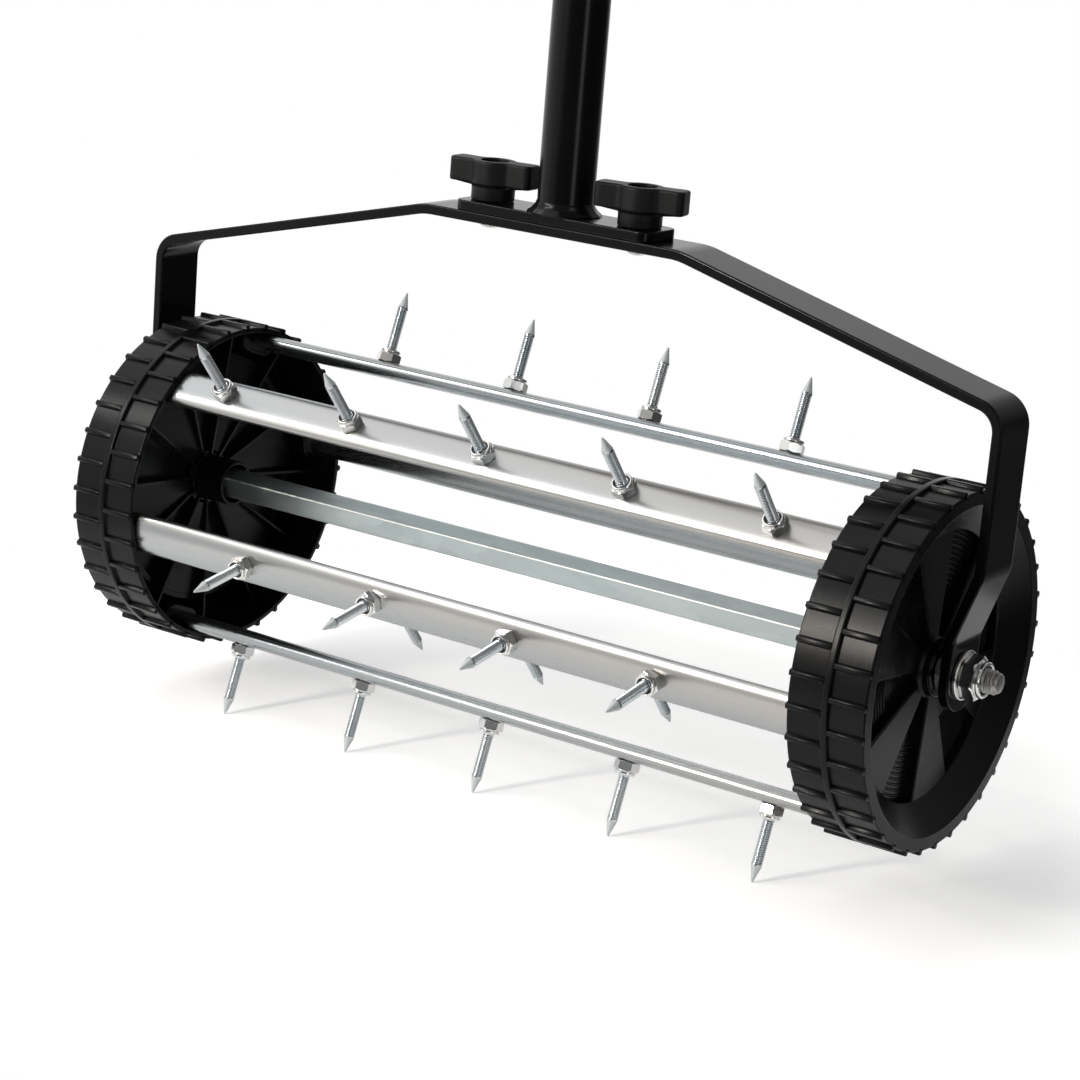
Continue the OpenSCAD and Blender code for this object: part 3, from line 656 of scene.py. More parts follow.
insert_brass = bright_finish("insert brass", (0.66, 0.46, 0.18), (0.74, 0.55, 0.24), rough=(0.2, 0.36),
                             bump=0.1, patch_scale=50.0, streak_scale=500.0)
bar_turn = 17
mark_bar(galvanised, half_side=0.007, half_length=0.2453, degrees=bar_turn)
mark_points(spike_zinc, start=0.1318)
print("finishes:", grain_group.users, "with grain,", plating_group.users, "plated")

# %% [markdown]
# ## The wheels
#
# Each wheel is one moulding: a tread with two rows of ribs and a raised band between them, a dished
# wall, and a disc of six raised wedges and six recesses. The rim and the hub are turned sections, so
# they are lathes. What is left repeats six times or thirty-five times, so one rib and one sixth of the
# disc are made, and the ring tree copies them. Sizes along the axle count from the drum's middle.

# %% Rim, dish and hub
tread, rim_inside, rib_top = 100.5, 97.2, 102.7
wheel_inner, band_low, band_high, wheel_outer = 230, 251, 255, 276
disc_radius, disc_face, recess_floor, disc_back = 76, 263, 257.6, 256
bore = 7.05

rim = lathe(rounded([
    (rim_inside, wheel_inner), (tread, wheel_inner), (tread, 250.4), (rib_top, 251.2), (rib_top, 254.8),
    (tread, 255.6), (tread, wheel_outer), (92.5, wheel_outer), (disc_radius, disc_face),
    (disc_radius, disc_back), (disc_radius + 4, disc_back), (93.5, 269.6), (rim_inside, 269.6)],
    [0.6, 0.7, 0.3, 0.8, 0.8, 0.3, 0.8, 1.0, 1.6, 0.5, 1.0, 0.8, 1.0]), steps=144)
hub = lathe(rounded([
    (bore, 248), (12.2, 248), (12.2, 233), (14.2, 233), (14.2, 256), (17.6, 256), (17.6, 262.8),
    (16, 264.4), (16, 268.5), (bore, 268.5)],
    [0.3, 0.5, 0.4, 0.6, 0.5, 0.4, 0.8, 1.0, 0.8, 0.5]), steps=72)
print("rim section sweeps", len(rim.polygons), "faces")

# %% Ribs
def tread_rib(low, high):
    """One rib across half the tread, its foot buried in the rim."""
    foot = [(98.9, -2.6), (rib_top, -1.35), (rib_top, 1.35), (98.9, 2.6)]
    outline = rounded(foot, [0.1, 0.9, 0.9, 0.1], steps=4, hold=0)
    return slab(outline, low, high, edge=0.3, hold=0, steps=2)

rib_count, first_rib = 35, radians(9.2)
half_step = 2 * pi / rib_count / 2
inner_ribs = grown(ring_tree, tread_rib(wheel_inner, band_low), wheel_plastic, Copies=rib_count,
                   First_angle=first_rib)
outer_ribs = grown(ring_tree, tread_rib(band_high, wheel_outer), wheel_plastic, Copies=rib_count,
                   First_angle=first_rib + half_step)

# %% One sixth of the disc
tube_out, wedge_turn, wedge_half, recess_half = 91.509, 30, 14.5, 15.5
disc_ring = (15, 77)
wedge = slab(sector(*disc_ring, wedge_half), 260, disc_face, edge=0.5)
recess = slab(sector(*disc_ring, recess_half), disc_back, recess_floor, edge=0.2)
web_outline = [(13.2, 255), (98.8, 247), (98.8, 272.8), (93.5, 272.8), (78, 262.6), (13.2, 262.6)]
web = placed(slab(web_outline, -1, 1, edge=0.3, hold=0.15, steps=2), turned_about("X", 90))
socket_outline = [(x + tube_out, y) for x, y in flat_oval(width=31, thickness=16)]
socket = slab(socket_outline, 246, 262, edge=0.7)
pin_corners = [(0, 259.7), (3, 259.7), (3, 260.3), (0, 260.3)]
pin_mark = lathe(rounded(pin_corners, 0.1, steps=1, hold=0), steps=24)

first_ridge, ridge_gap, ridge_count = 46.3, 3, 10
ridge_angles = [radians(a) for a in range(-15, 16, 2)]
ridge_arcs = []
for i in range(ridge_count):
    r = first_ridge + ridge_gap * i
    ridge_arcs.append([(r * cos(a), r * sin(a), recess_floor) for a in ridge_angles])
ridges = grown(bead_tree, path_mesh(ridge_arcs), wheel_plastic, Radius=0.8)

on_wedge = turned_about("Z", wedge_turn)
sixth = joined(
    [recess, ridges, socket, placed(wedge, on_wedge)]
    + [placed(web, turned_about("Z", wedge_turn + side * wedge_half)) for side in (-1, 1)]
    + [placed(pin_mark, on_wedge @ Matrix.Translation((r, 0, 0))) for r in (36, 62)])
sixths = grown(ring_tree, sixth, wheel_plastic, Copies=6, First_angle=radians(first_tube))

# %% Both wheels
wheel = joined([rim, hub, inner_ribs, outer_ribs, sixths])
right_place = about_axle(0)
left_place = right_place @ mirror_z @ turned_about("Z", tube_step)
for side, place in (("right", right_place), ("left", left_place)):
    piece(f"{side}_wheel_moulding", [placed(wheel, place)], wheel_plastic, "drum", "wheel_plastic",
          f"wheel_{side}")

# %% [markdown]
# ## Tubes, spikes and lock nuts
#
# Six flat-oval tubes join the wheels. Five spikes stand on one, four on the next, and so on round the
# drum. A spike is rod with a rolled thread: its root fills the nut, its shank carries the thread on at a
# smaller size, and its point is ground to a crisp cone. The nut's collar holds a ring of nylon, which is
# a finish of its own and so a piece of its own.

# %% One spike and one lock nut
tube_thickness, spike_tip, spike_pitch = 10, 140.909, 1.25
tube_face = tube_out + tube_thickness / 2

def spike():
    """Root, shank and ground point of a spike, drawn outward from the axle."""
    section = [(0, 92.31), (3.4, 92.31), (3.85, 92.8)]
    section += thread(outer=3.9, depth=0.5, pitch=spike_pitch, low=93.5, high=104.1)
    section += [(3.5, 104.6), (3.3, 105.3)]
    section += thread(outer=3.3, depth=0.5, pitch=spike_pitch, low=105.6, high=130.4)
    section += [(3.26, 130.6), (3.3, 130.9), (2.9, 132.15), (0.62, 140.5)]
    section += [(0.45, spike_tip), (0, spike_tip)]
    return placed(lathe(section, steps=28, sharp=50), along_x)

# Rings of a nut's chamfer: how deep each lies, and how far out it leaves the hexagon's corners
full_chamfer = ((0, 0.95), (0.45, 1.045), (0.8, 1.1), (1.1, 1.16))
short_chamfer = ((0, 0.95), (0.45, 1.045), (1.1, 1.16))

def chamfered(across, height, rings):
    """Section of a hexagon that stands on height 0, its corners cut down at both ends."""
    wide, size = across / 2, 0.055 * across
    lower = [(hexagon(across, limit * wide), depth * size) for depth, limit in rings]
    upper = [(hexagon(across, limit * wide), height - depth * size) for depth, limit in reversed(rings)]
    return lower + upper

def lock_nut(across, height, bore):
    """A hexagon with chamfered corners and the round, open collar of its nylon ring on top."""
    body, lip, rim_r = 0.72 * height, 0.94 * across / 2, 0.07 * across
    mouth, nylon = bore + 0.06 * across, height - 0.16 * across
    section = [(bore, 0.3), (bore + 0.4, 0), (0.9 * across / 2, 0)]
    section += chamfered(across, body, full_chamfer)
    section += [(lip - 0.02 * across, body), (lip - 0.03 * across, body + 0.02 * across),
                (lip, body + 0.06 * across), (lip, height - rim_r)]
    rim_angles = (0.5, 1.0, pi / 2)
    section += [(lip - rim_r + rim_r * cos(a), height - rim_r + rim_r * sin(a)) for a in rim_angles]
    section += [(mouth + 0.03 * across, height), (mouth, height - 0.03 * across)]
    section += [(mouth, nylon), (bore, nylon)]
    return lathe(section, steps=72, sharp=28)

def nylon_ring(across, height, bore):
    """The dark ring that is seen in the mouth of the collar."""
    inner, mouth, low = bore - 0.05, bore + 0.065 * across, height - 0.2 * across
    corners = [(inner, low), (mouth, low),
               (mouth, height - 0.06 * across), (inner, height - 0.1 * across)]
    return lathe(rounded(corners, 0.05, steps=1, hold=0), steps=48)

one_spike = spike()
on_tube = Matrix.Translation((tube_face, 0, 0)) @ along_x
spike_nut = {"across": 13, "height": 8, "bore": 3.95}
one_nut, one_ring = placed(lock_nut(**spike_nut), on_tube), placed(nylon_ring(**spike_nut), on_tube)
print("spike:", len(one_spike.polygons), "faces, nut:", len(one_nut.polygons), "faces")

# %% Six tubes with their rows
tube_half, nut_seed = 258, 20
oval_outline = [(x + tube_out, y) for x, y in crowned_oval(width=25, thickness=tube_thickness)]
for k, count in enumerate([5, 4, 5, 4, 5, 4]):
    out, n = about_axle(first_tube + tube_step * k), k + 1
    oval = slab(oval_outline, -tube_half, tube_half, edge=0.4)
    piece(f"oval_tube_{n}", [placed(oval, out)], tube_zinc, "drum", "zinc_tube", f"spike_tube_{n}")
    spikes = grown(row_tree, one_spike, spike_zinc, Copies=count, Seed=k)
    piece(f"spike_row_{n}", [placed(spikes, out)], spike_zinc, "drum", "zinc_spike", f"spikes_{n}")
    nuts = grown(row_tree, one_nut, nut_zinc, Copies=count, Seed=nut_seed + k)
    piece(f"nut_row_{n}", [placed(nuts, out)], nut_zinc, "drum", "zinc_nut", f"spike_nuts_{n}")
    rings = grown(row_tree, one_ring, nut_nylon, Copies=count, Seed=nut_seed + k)
    piece(f"nylon_row_{n}", [placed(rings, out)], nut_nylon, "drum", "black_plastic")

# %% [markdown]
# ## The axle and what is stacked on it
#
# A square galvanised bar runs through the drum. Its ends are turned round for the wheels, threaded for
# the nuts and chamfered at the tip. Outside each wheel come a nut, the yoke's arm, a washer and a lock
# nut. All of it is turned work but the square, which is a slab.

# %% Axle, washers and nuts
bar_side, bar_end = 7.0, 245.2
square = rounded(rectangle(bar_side, bar_side), 1.1, steps=4, hold=0.5)
bar = slab(square, -bar_end, bar_end, edge=0.6)
end_section = [(0, 244), (7, 244), (7, 283)]
end_section += thread(outer=7, depth=1.0, pitch=2.0, low=283.2, high=296) + [(6.2, 296.4)]
end_section += thread(outer=6.7, depth=0.9, pitch=1.75, low=296.8, high=300.6)
end_section += [(5.9, 301.0), (5.75, 302.3), (5.2, 303.1), (4.8, 303.3), (0, 303.3)]
journal = lathe(end_section, steps=64, sharp=50)
on_axle = about_axle(bar_turn)
axle_shapes = [placed(bar, on_axle), placed(journal, on_axle), placed(journal, on_axle @ mirror_z)]
piece("axle_bar", axle_shapes, galvanised, "frame", "galvanised_bar", "axle")

def on_both_ends(shape, start):
    """A shape on both ends of the axle, standing outward at a distance from the middle."""
    right = Matrix.Translation((start, 0, axle_height)) @ along_x
    return [placed(shape, right), placed(shape, mirror_x @ right)]

def washer(outer, thickness, edge=0.5):
    section = [(bore, 0), (outer, 0), (outer, thickness), (bore, thickness)]
    return lathe(rounded(section, edge), steps=72)

def plain_nut(across, height):
    hexagonal = chamfered(across, height, short_chamfer)
    section = [(bore, 0.5), (bore + 0.5, 0)] + hexagonal + [(bore + 0.5, height), (bore, height - 0.5)]
    return lathe(section, steps=72, sharp=28)

hub_end, arm_face, washer_face = 268.8, 280.8, 283.3
axle_nut = {"across": 22, "height": 12, "bore": bore}
lock_nuts = on_both_ends(placed(lock_nut(**axle_nut), turned_about("Z", 12)), washer_face)
nylon_rings = on_both_ends(nylon_ring(**axle_nut), washer_face)
thrust_washers = on_both_ends(washer(outer=11.8, thickness=2.5), bar_end)
inner_nuts = on_both_ends(plain_nut(across=22, height=6), hub_end)
arm_washers = on_both_ends(washer(outer=14, thickness=2.5, edge=0.6), arm_face)
piece("hub_thrust_washers", thrust_washers, nut_nylon, "frame", "black_plastic", "thrust_washers")
piece("hub_nuts", inner_nuts, nut_zinc, "frame", "zinc_nut", "inner_nuts")
piece("arm_washers", arm_washers, nut_zinc, "frame", "zinc_nut", "axle_washers")
piece("axle_lock_nuts", lock_nuts, nut_zinc, "frame", "zinc_nut", "lock_nuts")
piece("axle_nylon", nylon_rings, nut_nylon, "frame", "black_plastic")

# %% [markdown]
# ## The yoke
#
# The yoke is one flat steel strip, bent four times on each side and rounded off below the axle. A curve
# with a bevel could follow the bends, but its ends would be cut square. So a rounded rectangle is
# carried along the line, station by station, and narrows along a circle at the two ends.

# %% Stations along the yoke
half_strip, strip_thickness = 17, 6.0
half_line = [(88, 199), (291, 148), (291, 60), (277.8, 20), (277.8, -4)]
line = [(-x, z) for x, z in reversed(half_line)] + half_line
bends = [0, 20, 20, 15, 45, 45, 15, 20, 20, 0]

def stations(line, bends, steps=14, hold=2):
    """Points and directions along a line of corners that are bent to given radii."""
    found = [(Vector(line[0]), (Vector(line[1]) - Vector(line[0])).normalized())]
    for i in range(1, len(line) - 1):
        here = Vector(line[i])
        u, v = (here - Vector(line[i - 1])).normalized(), (Vector(line[i + 1]) - here).normalized()
        turn = atan2(u.x * v.y - u.y * v.x, u.dot(v))
        sign = 1 if turn > 0 else -1
        start = here - u * bends[i] * tan(abs(turn) / 2)
        centre = start + sign * bends[i] * Vector((-u.y, u.x))
        found.append((start - u * hold, u))
        for a in evenly(0, turn, steps):
            way = Vector((u.x * cos(a) - u.y * sin(a), u.x * sin(a) + u.y * cos(a)))
            found.append((centre - sign * bends[i] * Vector((-way.y, way.x)), way))
        found.append((found[-1][0] + v * hold, v))
    found.append((Vector(line[-1]), (Vector(line[-1]) - Vector(line[-2])).normalized()))
    return found

def strip_ring(at, way, half_width):
    """The strip's rounded section, square to its line."""
    corner = min(1.0, 0.8 * half_width)
    across = rounded(rectangle(half_width, strip_thickness / 2), corner, steps=4, hold=0.5)
    up = Vector((-way.y, way.x))
    return [(at.x + up.x * h, y, at.y + up.y * h + axle_height) for y, h in across]

path = stations(line, bends)
end_angles = [radians(a) for a in (10, 20, 30, 40, 50, 60, 70, 78, 84, 88)]
ends = [(half_strip * sin(a), half_strip * cos(a)) for a in end_angles]
(first, first_way), (last, last_way) = path[0], path[-1]
rings = [strip_ring(first - first_way * d, first_way, w) for d, w in reversed(ends)]
rings += [strip_ring(at, way, half_strip) for at, way in path]
rings += [strip_ring(last + last_way * d, last_way, w) for d, w in ends]
piece("bent_yoke", [as_mesh(skin(rings, loop=False))], black_paint, "frame", "black_paint", "yoke")

# %% [markdown]
# ## Foot plate, welds and handle tubes
#
# The handle stands on a short plate that lies on the strip, joined by a smooth run of weld that flares
# out on the plate. That is a lathe whose radius wanders and ripples with the angle. The weld at the top
# is a narrow row of overlapping scales, so the weld tree lays them where the two tubes meet.

# %% Foot plate and lower tube
strip_top = axle_height + 202
plate_top = strip_top + 6
lower_top = plate_top + 400
upper_top = lower_top + 460
cross_height = upper_top - 20
plate_half, tube_radius, cross_radius = 67, 16.5, 12.5

plate_outline = rounded(rectangle(plate_half, half_strip), 7, steps=8, hold=0.5)
plate = slab(plate_outline, strip_top, plate_top, edge=0.8, hold=0.5)
piece("handle_foot_plate", [plate], black_paint, "frame", "black_paint", "foot_plate")

def tube(outer, low, high, wall=1.5):
    corners = [(outer - wall, low), (outer, low), (outer, high), (outer - wall, high)]
    return lathe(rounded(corners, [0.2, 0.4, 0.5, 0.3], hold=0.4))

lower_tube = tube(tube_radius, plate_top, lower_top)
piece("handle_lower_tube", [lower_tube], black_paint, "frame", "black_paint", "lower_tube")

# %% Upper tube, cross tube and cap
spigot_bore, spigot_radius, upper_bore, cross_half = 13.45, 14.95, 14.9, 190
spigot_low, shoulder, cap_low, cap_top = lower_top - 60, lower_top + 3, upper_top - 6.4, upper_top + 5

upper_tube = lathe(rounded([
    (spigot_bore, spigot_low), (spigot_radius, spigot_low), (spigot_radius, lower_top),
    (tube_radius, lower_top + 0.1), (tube_radius, upper_top), (upper_bore, upper_top),
    (upper_bore, shoulder), (spigot_bore, shoulder)],
    [0.3, 0.5, 0.05, 0.5, 0.4, 0.2, 0.2, 0.2], hold=0.4))
piece("handle_upper_tube", [upper_tube], black_paint, "frame", "black_paint", "upper_tube")

at_cross = Matrix.Translation((0, 0, cross_height)) @ along_x
cross = placed(tube(cross_radius, -cross_half, cross_half), at_cross)
piece("handle_cross_tube", [cross], black_paint, "frame", "black_paint", "cross_tube")

def closed_section(corners, radii, hold):
    """A rounded section whose first and last corners lie on the axis, and stay sharp there."""
    return rounded(corners, radii, steps=5, hold=hold)[1:-1] + [corners[-1], corners[0]]

cap = lathe(closed_section([
    (0, cap_top), (tube_radius, cap_top), (tube_radius, upper_top + 0.1), (upper_bore, upper_top + 0.1),
    (upper_bore, cap_low), (0, cap_low)], [0, 2.2, 0.2, 0.1, 0.3, 0], hold=0), steps=72)
piece("handle_cap", [cap], knob_plastic, "frame", "black_plastic", "tube_cap")

# %% Welds
def flare(reach, ripple):
    """Radius of the weld's flare: it wanders a little, and carries the ripple of the torch's steps."""
    return lambda a: (reach + 0.5 * sin(2 * a + 0.7) + 0.35 * sin(5 * a + 2.1)
                      + ripple * sin(7 * a + 0.6 * sin(3 * a)) ** 2)

weld_section = [
    (16.0, -0.3), (flare(20.8, 0.3), -0.3), (flare(21.1, 0.35), 0.5), (flare(20.2, 0.35), 1.4),
    (flare(18.8, 0.3), 2.4), (flare(17.8, 0.2), 3.8), (17.2, 5.2), (16.9, 6.4), (16.3, 7.2), (16.0, 7.0)]
fillet = lathe([(radius, plate_top + rise) for radius, rise in weld_section], steps=240, sharp=60)
piece("foot_weld_fillet", [fillet], black_paint, "frame", "black_paint", "foot_weld")

bead_radius = cross_radius + 0.7
saddle = []
for side in (-1, 1):
    saddle.append([(side * (sqrt(tube_radius ** 2 - (cross_radius * sin(a)) ** 2) + 0.8),
                    bead_radius * sin(a), cross_height + bead_radius * cos(a)) for a in full_turn(60)])
cross_beads = [grown(weld_tree, path_mesh([ring], closed=True), black_paint, Scales=30, Radius=1.7,
                     Unevenness=0.14, Seed=8 + i) for i, ring in enumerate(saddle)]
piece("cross_weld_scales", cross_beads, black_paint, "frame", "black_paint", "cross_weld")

# %% [markdown]
# ## Clamping bolts and wing knobs
#
# A knob is a round boss with two wings that spread toward their ends. Seen from above, its outline is
# round, then hollow where the wing starts, then straight. The hollow is a fillet: a circle that touches
# the boss and the wing's side. The outline is sampled once, and the same number of points round the
# boss and round the recess lets one skin cover the whole knob.

# %% Outline of a wing knob
def knob_outline(boss=12.75, tip=27.0, root=6.0, end=8.0, fillet=5.0, corner=3.6):
    """A quarter of the outline, from the wing's tip to the side of the boss, then mirrored round."""
    slope = atan2(end - root, tip)
    along, out = Vector((cos(slope), sin(slope))), Vector((-sin(slope), cos(slope)))
    foot = Vector((0, root))
    m = foot + fillet * out
    b, c = m.dot(along), m.dot(m) - (boss + fillet) ** 2
    reach = -b + sqrt(b * b - c)
    centre = m + reach * along
    touch = foot + reach * along
    middle = Vector((tip - corner, foot.y + (tip - corner) * tan(slope) - corner / cos(slope)))
    quarter = [(tip, y) for y in evenly(0, middle.y, 4)[:-1]]
    quarter += arc_points(middle, corner, 0, pi / 2 + slope, 8)
    edge = Vector(quarter[-1])
    quarter += [tuple(edge.lerp(touch, t)) for t in evenly(0, 1, 5)[1:]]
    at_wing, at_boss = atan2(-out.y, -out.x), atan2(-centre.y, -centre.x)
    quarter += arc_points(centre, fillet, at_wing, at_boss, 7)[1:]
    quarter += arc_points((0, 0), boss, atan2(centre.y, centre.x), pi / 2, 6)[1:]
    back = [(-x, y) for x, y in reversed(quarter[:-1])]
    half = quarter + back
    return half + [(x, -y) for x, y in reversed(half[1:-1])]

wings = knob_outline()
print("knob outline:", len(wings), "points")

# %% Knobs
def knob():
    """Boss, wings, recess and bore as one closed skin, standing on height 0."""
    boss, top, pocket, skirt, skirt_edge, recess, hole = 12.75, 23, 6.6, 11.9, 12.0, 8.5, 4.3
    insert_top, floor_height, wing_low = 11, 18, 9.0
    skirt_round, wing_round, top_round, lip_round = 0.7, 1.2, 1.4, 0.6
    way = [atan2(y, x) for x, y in wings]
    arc = evenly(0, pi / 2, 4)

    def level(depth, z):
        return [(p[0], p[1], z) for p in inset(wings, depth)]

    def round_level(r, z):
        return [(r * cos(a), r * sin(a), z) for a in way]

    rings = [round_level(pocket, insert_top), round_level(pocket, 0), round_level(skirt, 0)]
    rings += [round_level(skirt_edge + skirt_round * sin(t), skirt_round * (1 - cos(t)))
              for t in arc[1:]]
    rings += [round_level(boss, 7.5), level(2.0, wing_low), level(wing_round, wing_low)]
    rings += [level(wing_round * (1 - sin(t)), wing_low + wing_round * (1 - cos(t))) for t in arc[1:]]
    rings += [level(0, 10.6), level(0, 21.2)]
    rings += [level(top_round * (1 - cos(t)), top - top_round * (1 - sin(t))) for t in arc]
    rings += [level(1.9, top), round_level(9.3, top)]
    rings += [round_level(recess + lip_round * (1 - sin(t)), top - lip_round * (1 - cos(t)))
              for t in arc]
    rings += [round_level(recess, 21.9), round_level(recess, 18.4), round_level(8.1, floor_height),
              round_level(hole, floor_height), round_level(hole, insert_top)]
    return as_mesh(skin(rings))

knob_base = plate_top + 0.3
bolt_x = 51
one_knob = knob()
for side, x, turn in (("left", -bolt_x, 5), ("right", bolt_x, 12)):
    place = Matrix.Translation((x, 0, knob_base)) @ turned_about("Z", turn)
    piece(f"wing_knob_{side}", [placed(one_knob, place)], knob_plastic, f"knob_{side}", "black_plastic",
          f"knob_{side}")

# %% Carriage bolts
def carriage_bolt(head_radius=9.5, head_height=4.6, half_neck=4):
    """Low round head, square neck and a threaded shank, from the underside of the strip."""
    ball = (head_radius ** 2 + head_height ** 2) / (2 * head_height)
    rim_angle = atan2(head_radius, ball - head_height)
    dome = [(ball * sin(a), ball - head_height - ball * cos(a)) for a in evenly(0, rim_angle, 10)]
    head = lathe(dome + [(9.4, 0), (0, 0)], steps=64)
    square = rounded(rectangle(half_neck, half_neck), 0.8, hold=0)
    neck = slab(square, -1, 5, edge=0.3, hold=0)
    section = [(0, 4), (3.9, 4)] + thread(outer=4, depth=0.6, pitch=1.25, low=5, high=22.5)
    shank = lathe(section + [(3.3, 23.2), (0, 23.2)], steps=32, sharp=50)
    return joined([head, neck, shank])

one_bolt = carriage_bolt()
under_strip = strip_top - strip_thickness
bolts = [placed(one_bolt, Matrix.Translation((x, 0, under_strip))) for x in (-bolt_x, bolt_x)]
piece("carriage_bolts", bolts, nut_zinc, "frame", "zinc_nut", "clamp_bolts")

# %% [markdown]
# ## Joint bolt and grips
#
# Above the photograph's view, a bolt joins the two handle tubes, and two rubber grips close the cross
# tube. A grip is turned, with a flange for the thumb and a groove for the palm, and the ring tree sets
# soft ribs round the groove.

# %% Joint bolt and nut
joint_height = lower_top - 30
away = turned_about("X", -90)
head_across = 10
screw = [(0, -4), (hexagon(head_across, 4.7), -4), (hexagon(head_across, 5.2), -3.75),
         (hexagon(head_across, 5.8), -3.4), (hexagon(head_across), -0.2), (hexagon(head_across, 5.2), 0),
         (3, 0), (3, 33)]
screw += thread(outer=3, depth=0.45, pitch=1.0, low=33.2, high=40.4) + [(2.5, 40.9), (0, 40.9)]
at_joint = Matrix.Translation((0, -tube_radius, joint_height)) @ away
at_nut = Matrix.Translation((0, tube_radius, joint_height)) @ away
joint_screw = placed(lathe(screw, steps=72, sharp=28), at_joint)
joint_nut = placed(lock_nut(across=10, height=5, bore=3.05), at_nut)
piece("joint_screw", [joint_screw], nut_zinc, "frame", "zinc_nut", "joint_bolt")
piece("joint_lock_nut", [joint_nut], nut_zinc, "frame", "zinc_nut", "joint_nut")

# %% Grips
grip_start, grip_end, grip_cover, grip_bore = 78, 118, 112, 12.55
grip_body = lathe(closed_section([
    (0, grip_cover), (grip_bore, grip_cover), (grip_bore, 0), (20.5, 0), (20.5, 4), (17, 6), (17, 14),
    (16.1, 15), (16.1, 103), (17, 104), (17, grip_end), (0, grip_end)],
    [0, 0.5, 0.6, 1.4, 1.4, 1.2, 0.6, 0.8, 0.8, 0.6, 3.5, 0], hold=0.4))
rib_foot = [(15.6, -1.0), (17, -0.7), (17, 0.7), (15.6, 1.0)]
rib_outline = rounded(rib_foot, [0.1, 0.5, 0.5, 0.1], steps=2, hold=0)
grip_rib = slab(rib_outline, 16, 102, edge=0.6, hold=0, steps=2)
grip_ribs = grown(ring_tree, grip_rib, grip_rubber, Copies=32)
right_grip = Matrix.Translation((grip_start, 0, cross_height)) @ along_x
for side, place in (("right", right_grip), ("left", mirror_x @ right_grip)):
    shapes = [placed(grip_body, place), placed(grip_ribs, place)]
    piece(f"rubber_grip_{side}", shapes, grip_rubber, "frame", "grip_rubber", f"grip_{side}")

# %% [markdown]
# ## Pieces that keep the frame's shape
#
# The threaded inserts sit inside the knobs, where a plain ring is the right shape. They stay as they
# are and only take a finish.

# %% Brass inserts
for name in ("knob_insert_left", "knob_insert_right"):
    mesh = frame["nodes"][name].data
    mesh.materials.clear()
    mesh.materials.append(insert_brass)
print("inserts finished in", insert_brass.name)

# %% [markdown]
# ## The studio
#
# The tool was photographed against plain white. The floor is pale and keeps a soft shadow, and it is
# clear from below, so that the underside can be looked at. The world is white where it is seen. Metal
# and gloss paint see a studio in it instead: one bright side, a fainter ceiling, and a dim side behind
# the camera, so that they keep their contrast. Four area lamps light the tool.

# %% Floor
def floor(radius=0.5, sides=96):
    """A pale disc that glows more toward its rim, so that no edge shows against the white world."""
    mesh = bpy.data.meshes.new("floor")
    rim = [(radius * cos(a), radius * sin(a), 0) for a in full_turn(sides)]
    mesh.from_pydata(rim, [], [tuple(range(sides))])
    plane = in_scene("floor", mesh)
    material, tree, surface, position = surface_of("floor white")
    feed(tree, surface, {
        "Base Color": (0.86, 0.86, 0.86, 1), "Roughness": 0.9, "Specular IOR Level": 0.1})
    ray = add(tree, "ShaderNodeLightPath").outputs
    straight = calc(tree, "MAXIMUM", ray["Is Camera Ray"], ray["Is Transmission Ray"])
    mirrored_share = 0.6
    seen = calc(tree, "MAXIMUM", straight, calc(tree, "MULTIPLY", ray["Is Glossy Ray"], mirrored_share))
    far = add(tree, "ShaderNodeVectorMath", {0: position}, operation="LENGTH").outputs["Value"]
    brighter = spread(tree, far, 0.32, 0.49, to_low=0.38, to_high=0.66)
    glow = calc(tree, "MULTIPLY", brighter, seen)
    feed(tree, surface, {"Emission Color": (1, 1, 1, 1), "Emission Strength": glow})
    back = add(tree, "ShaderNodeNewGeometry").outputs["Backfacing"]
    from_below = calc(tree, "MULTIPLY", back, ray["Is Camera Ray"])
    clear = add(tree, "ShaderNodeBsdfTransparent").outputs[0]
    both = add(tree, "ShaderNodeMixShader", {0: from_below, 1: surface.outputs[0], 2: clear})
    feed(tree, tree.nodes["Material Output"], {"Surface": both.outputs[0]})
    mesh.materials.append(material)
    return plane

print("floor:", len(floor().data.vertices), "corners")

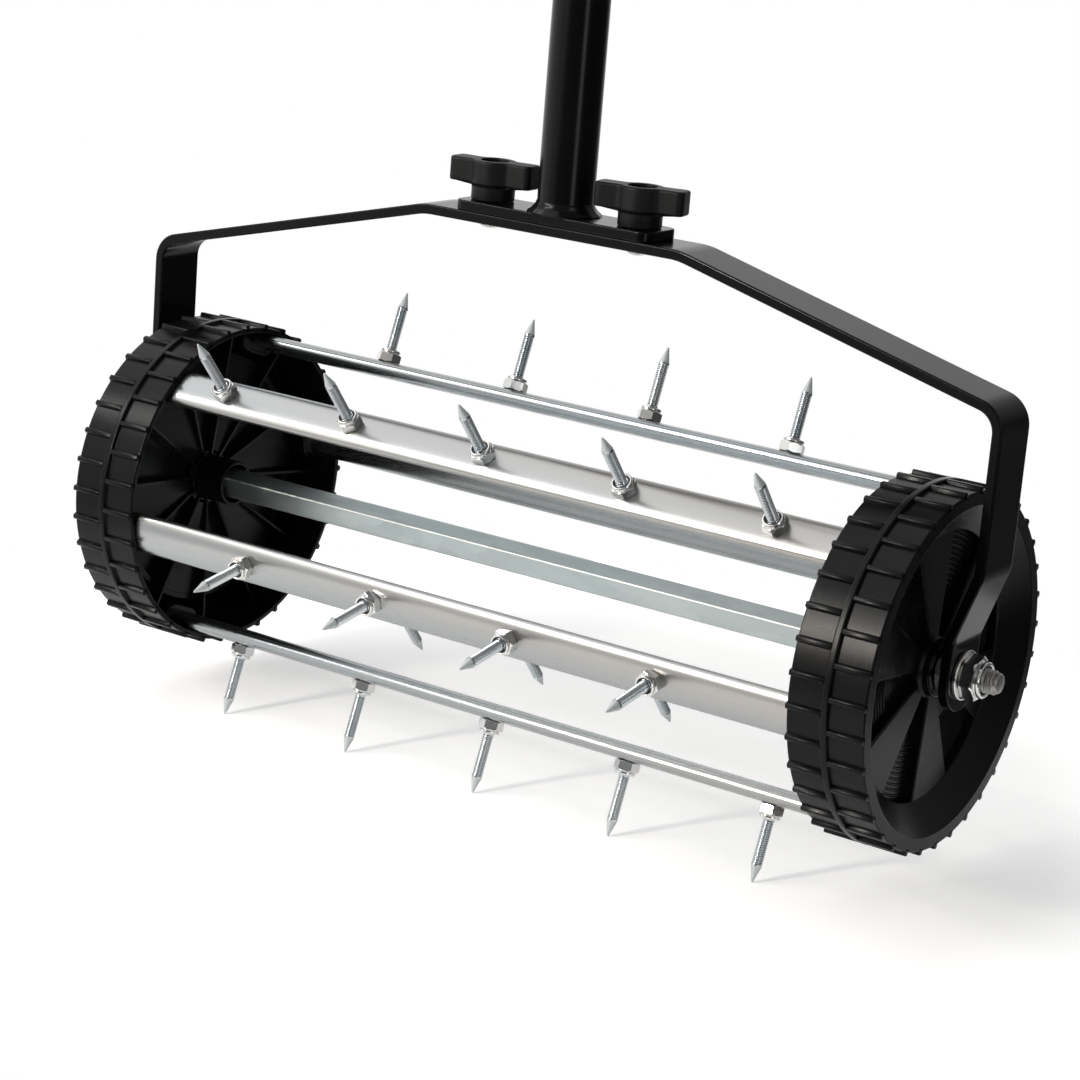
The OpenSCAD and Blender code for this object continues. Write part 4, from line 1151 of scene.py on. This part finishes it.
# %% World
world = bpy.data.worlds.new("studio")
bpy.context.scene.world = world
world.use_nodes = True
tree = world.node_tree
tree.nodes.clear()
bright_side, matt_light = (-0.97, 0.24, 0.0), 0.4
direction = add(tree, "ShaderNodeTexCoord").outputs["Generated"]
facing = add(tree, "ShaderNodeVectorMath", {0: direction, 1: bright_side}, operation="DOT_PRODUCT")
level = add(tree, "ShaderNodeSeparateXYZ", {0: direction}).outputs["Z"]
wall = spread(tree, facing.outputs["Value"], -0.15, 0.6, to_low=0.06)
ceiling = spread(tree, level, 0.05, 0.5, to_high=0.4)
room = calc(tree, "MAXIMUM", wall, ceiling)
overhead = spread(tree, level, 0.45, 0.85, to_low=1.0, to_high=0.35)
studio = calc(tree, "MULTIPLY", room, overhead)
ray = add(tree, "ShaderNodeLightPath").outputs
seen = calc(tree, "MAXIMUM", ray["Is Camera Ray"], ray["Is Transmission Ray"])
over_matt = calc(tree, "SUBTRACT", studio, matt_light)
plain = calc(tree, "MULTIPLY_ADD", ray["Is Glossy Ray"], over_matt, matt_light)
strength = calc(tree, "MAXIMUM", seen, plain)
background = add(tree, "ShaderNodeBackground", {"Color": (1, 1, 1, 1), "Strength": strength})
add(tree, "ShaderNodeOutputWorld", {"Surface": background.outputs[0]})
print("world:", world.name)

# %% Lamps
def lamp(name, position, aim, size, power, colour):
    light = bpy.data.lights.new(name, "AREA")
    light.shape, light.size, light.size_y = "RECTANGLE", size[0], size[1]
    light.energy, light.color = power, colour
    away = Vector(position) - Vector(aim)
    turn = away.to_track_quat("Z", "Y").to_matrix().to_4x4()
    in_scene(name, light).matrix_world = Matrix.Translation(position) @ turn

lamp("overhead soft box", (-1.0, -0.3, 2.1), aim=(0, 0, 0.15), size=(2.4, 1.9), power=15,
     colour=(1.0, 0.99, 0.98))
lamp("high front strip", (-1.2, -1.4, 1.4), aim=(0, 0, 0.15), size=(1.3, 0.34), power=14,
     colour=(1.0, 0.98, 0.95))
lamp("low front soft box", (-0.71, -1.78, 0.85), aim=(0.25, -0.1, 0.15), size=(0.17, 0.5), power=21,
     colour=(1.0, 0.94, 0.86))
lamp("right soft box", (2.0, -1.2, 0.5), aim=(0, 0, 0.3), size=(0.5, 1.4), power=5,
     colour=(0.95, 0.975, 1.0))
bpy.context.scene.view_settings.view_transform = "Standard"
print(len(bpy.data.lights), "lamps")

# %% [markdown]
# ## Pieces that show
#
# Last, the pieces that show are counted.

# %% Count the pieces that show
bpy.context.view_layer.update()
shown = [thing for thing in bpy.data.objects if thing.get("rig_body") and not thing.hide_render]
print("pieces that show:", len(shown))
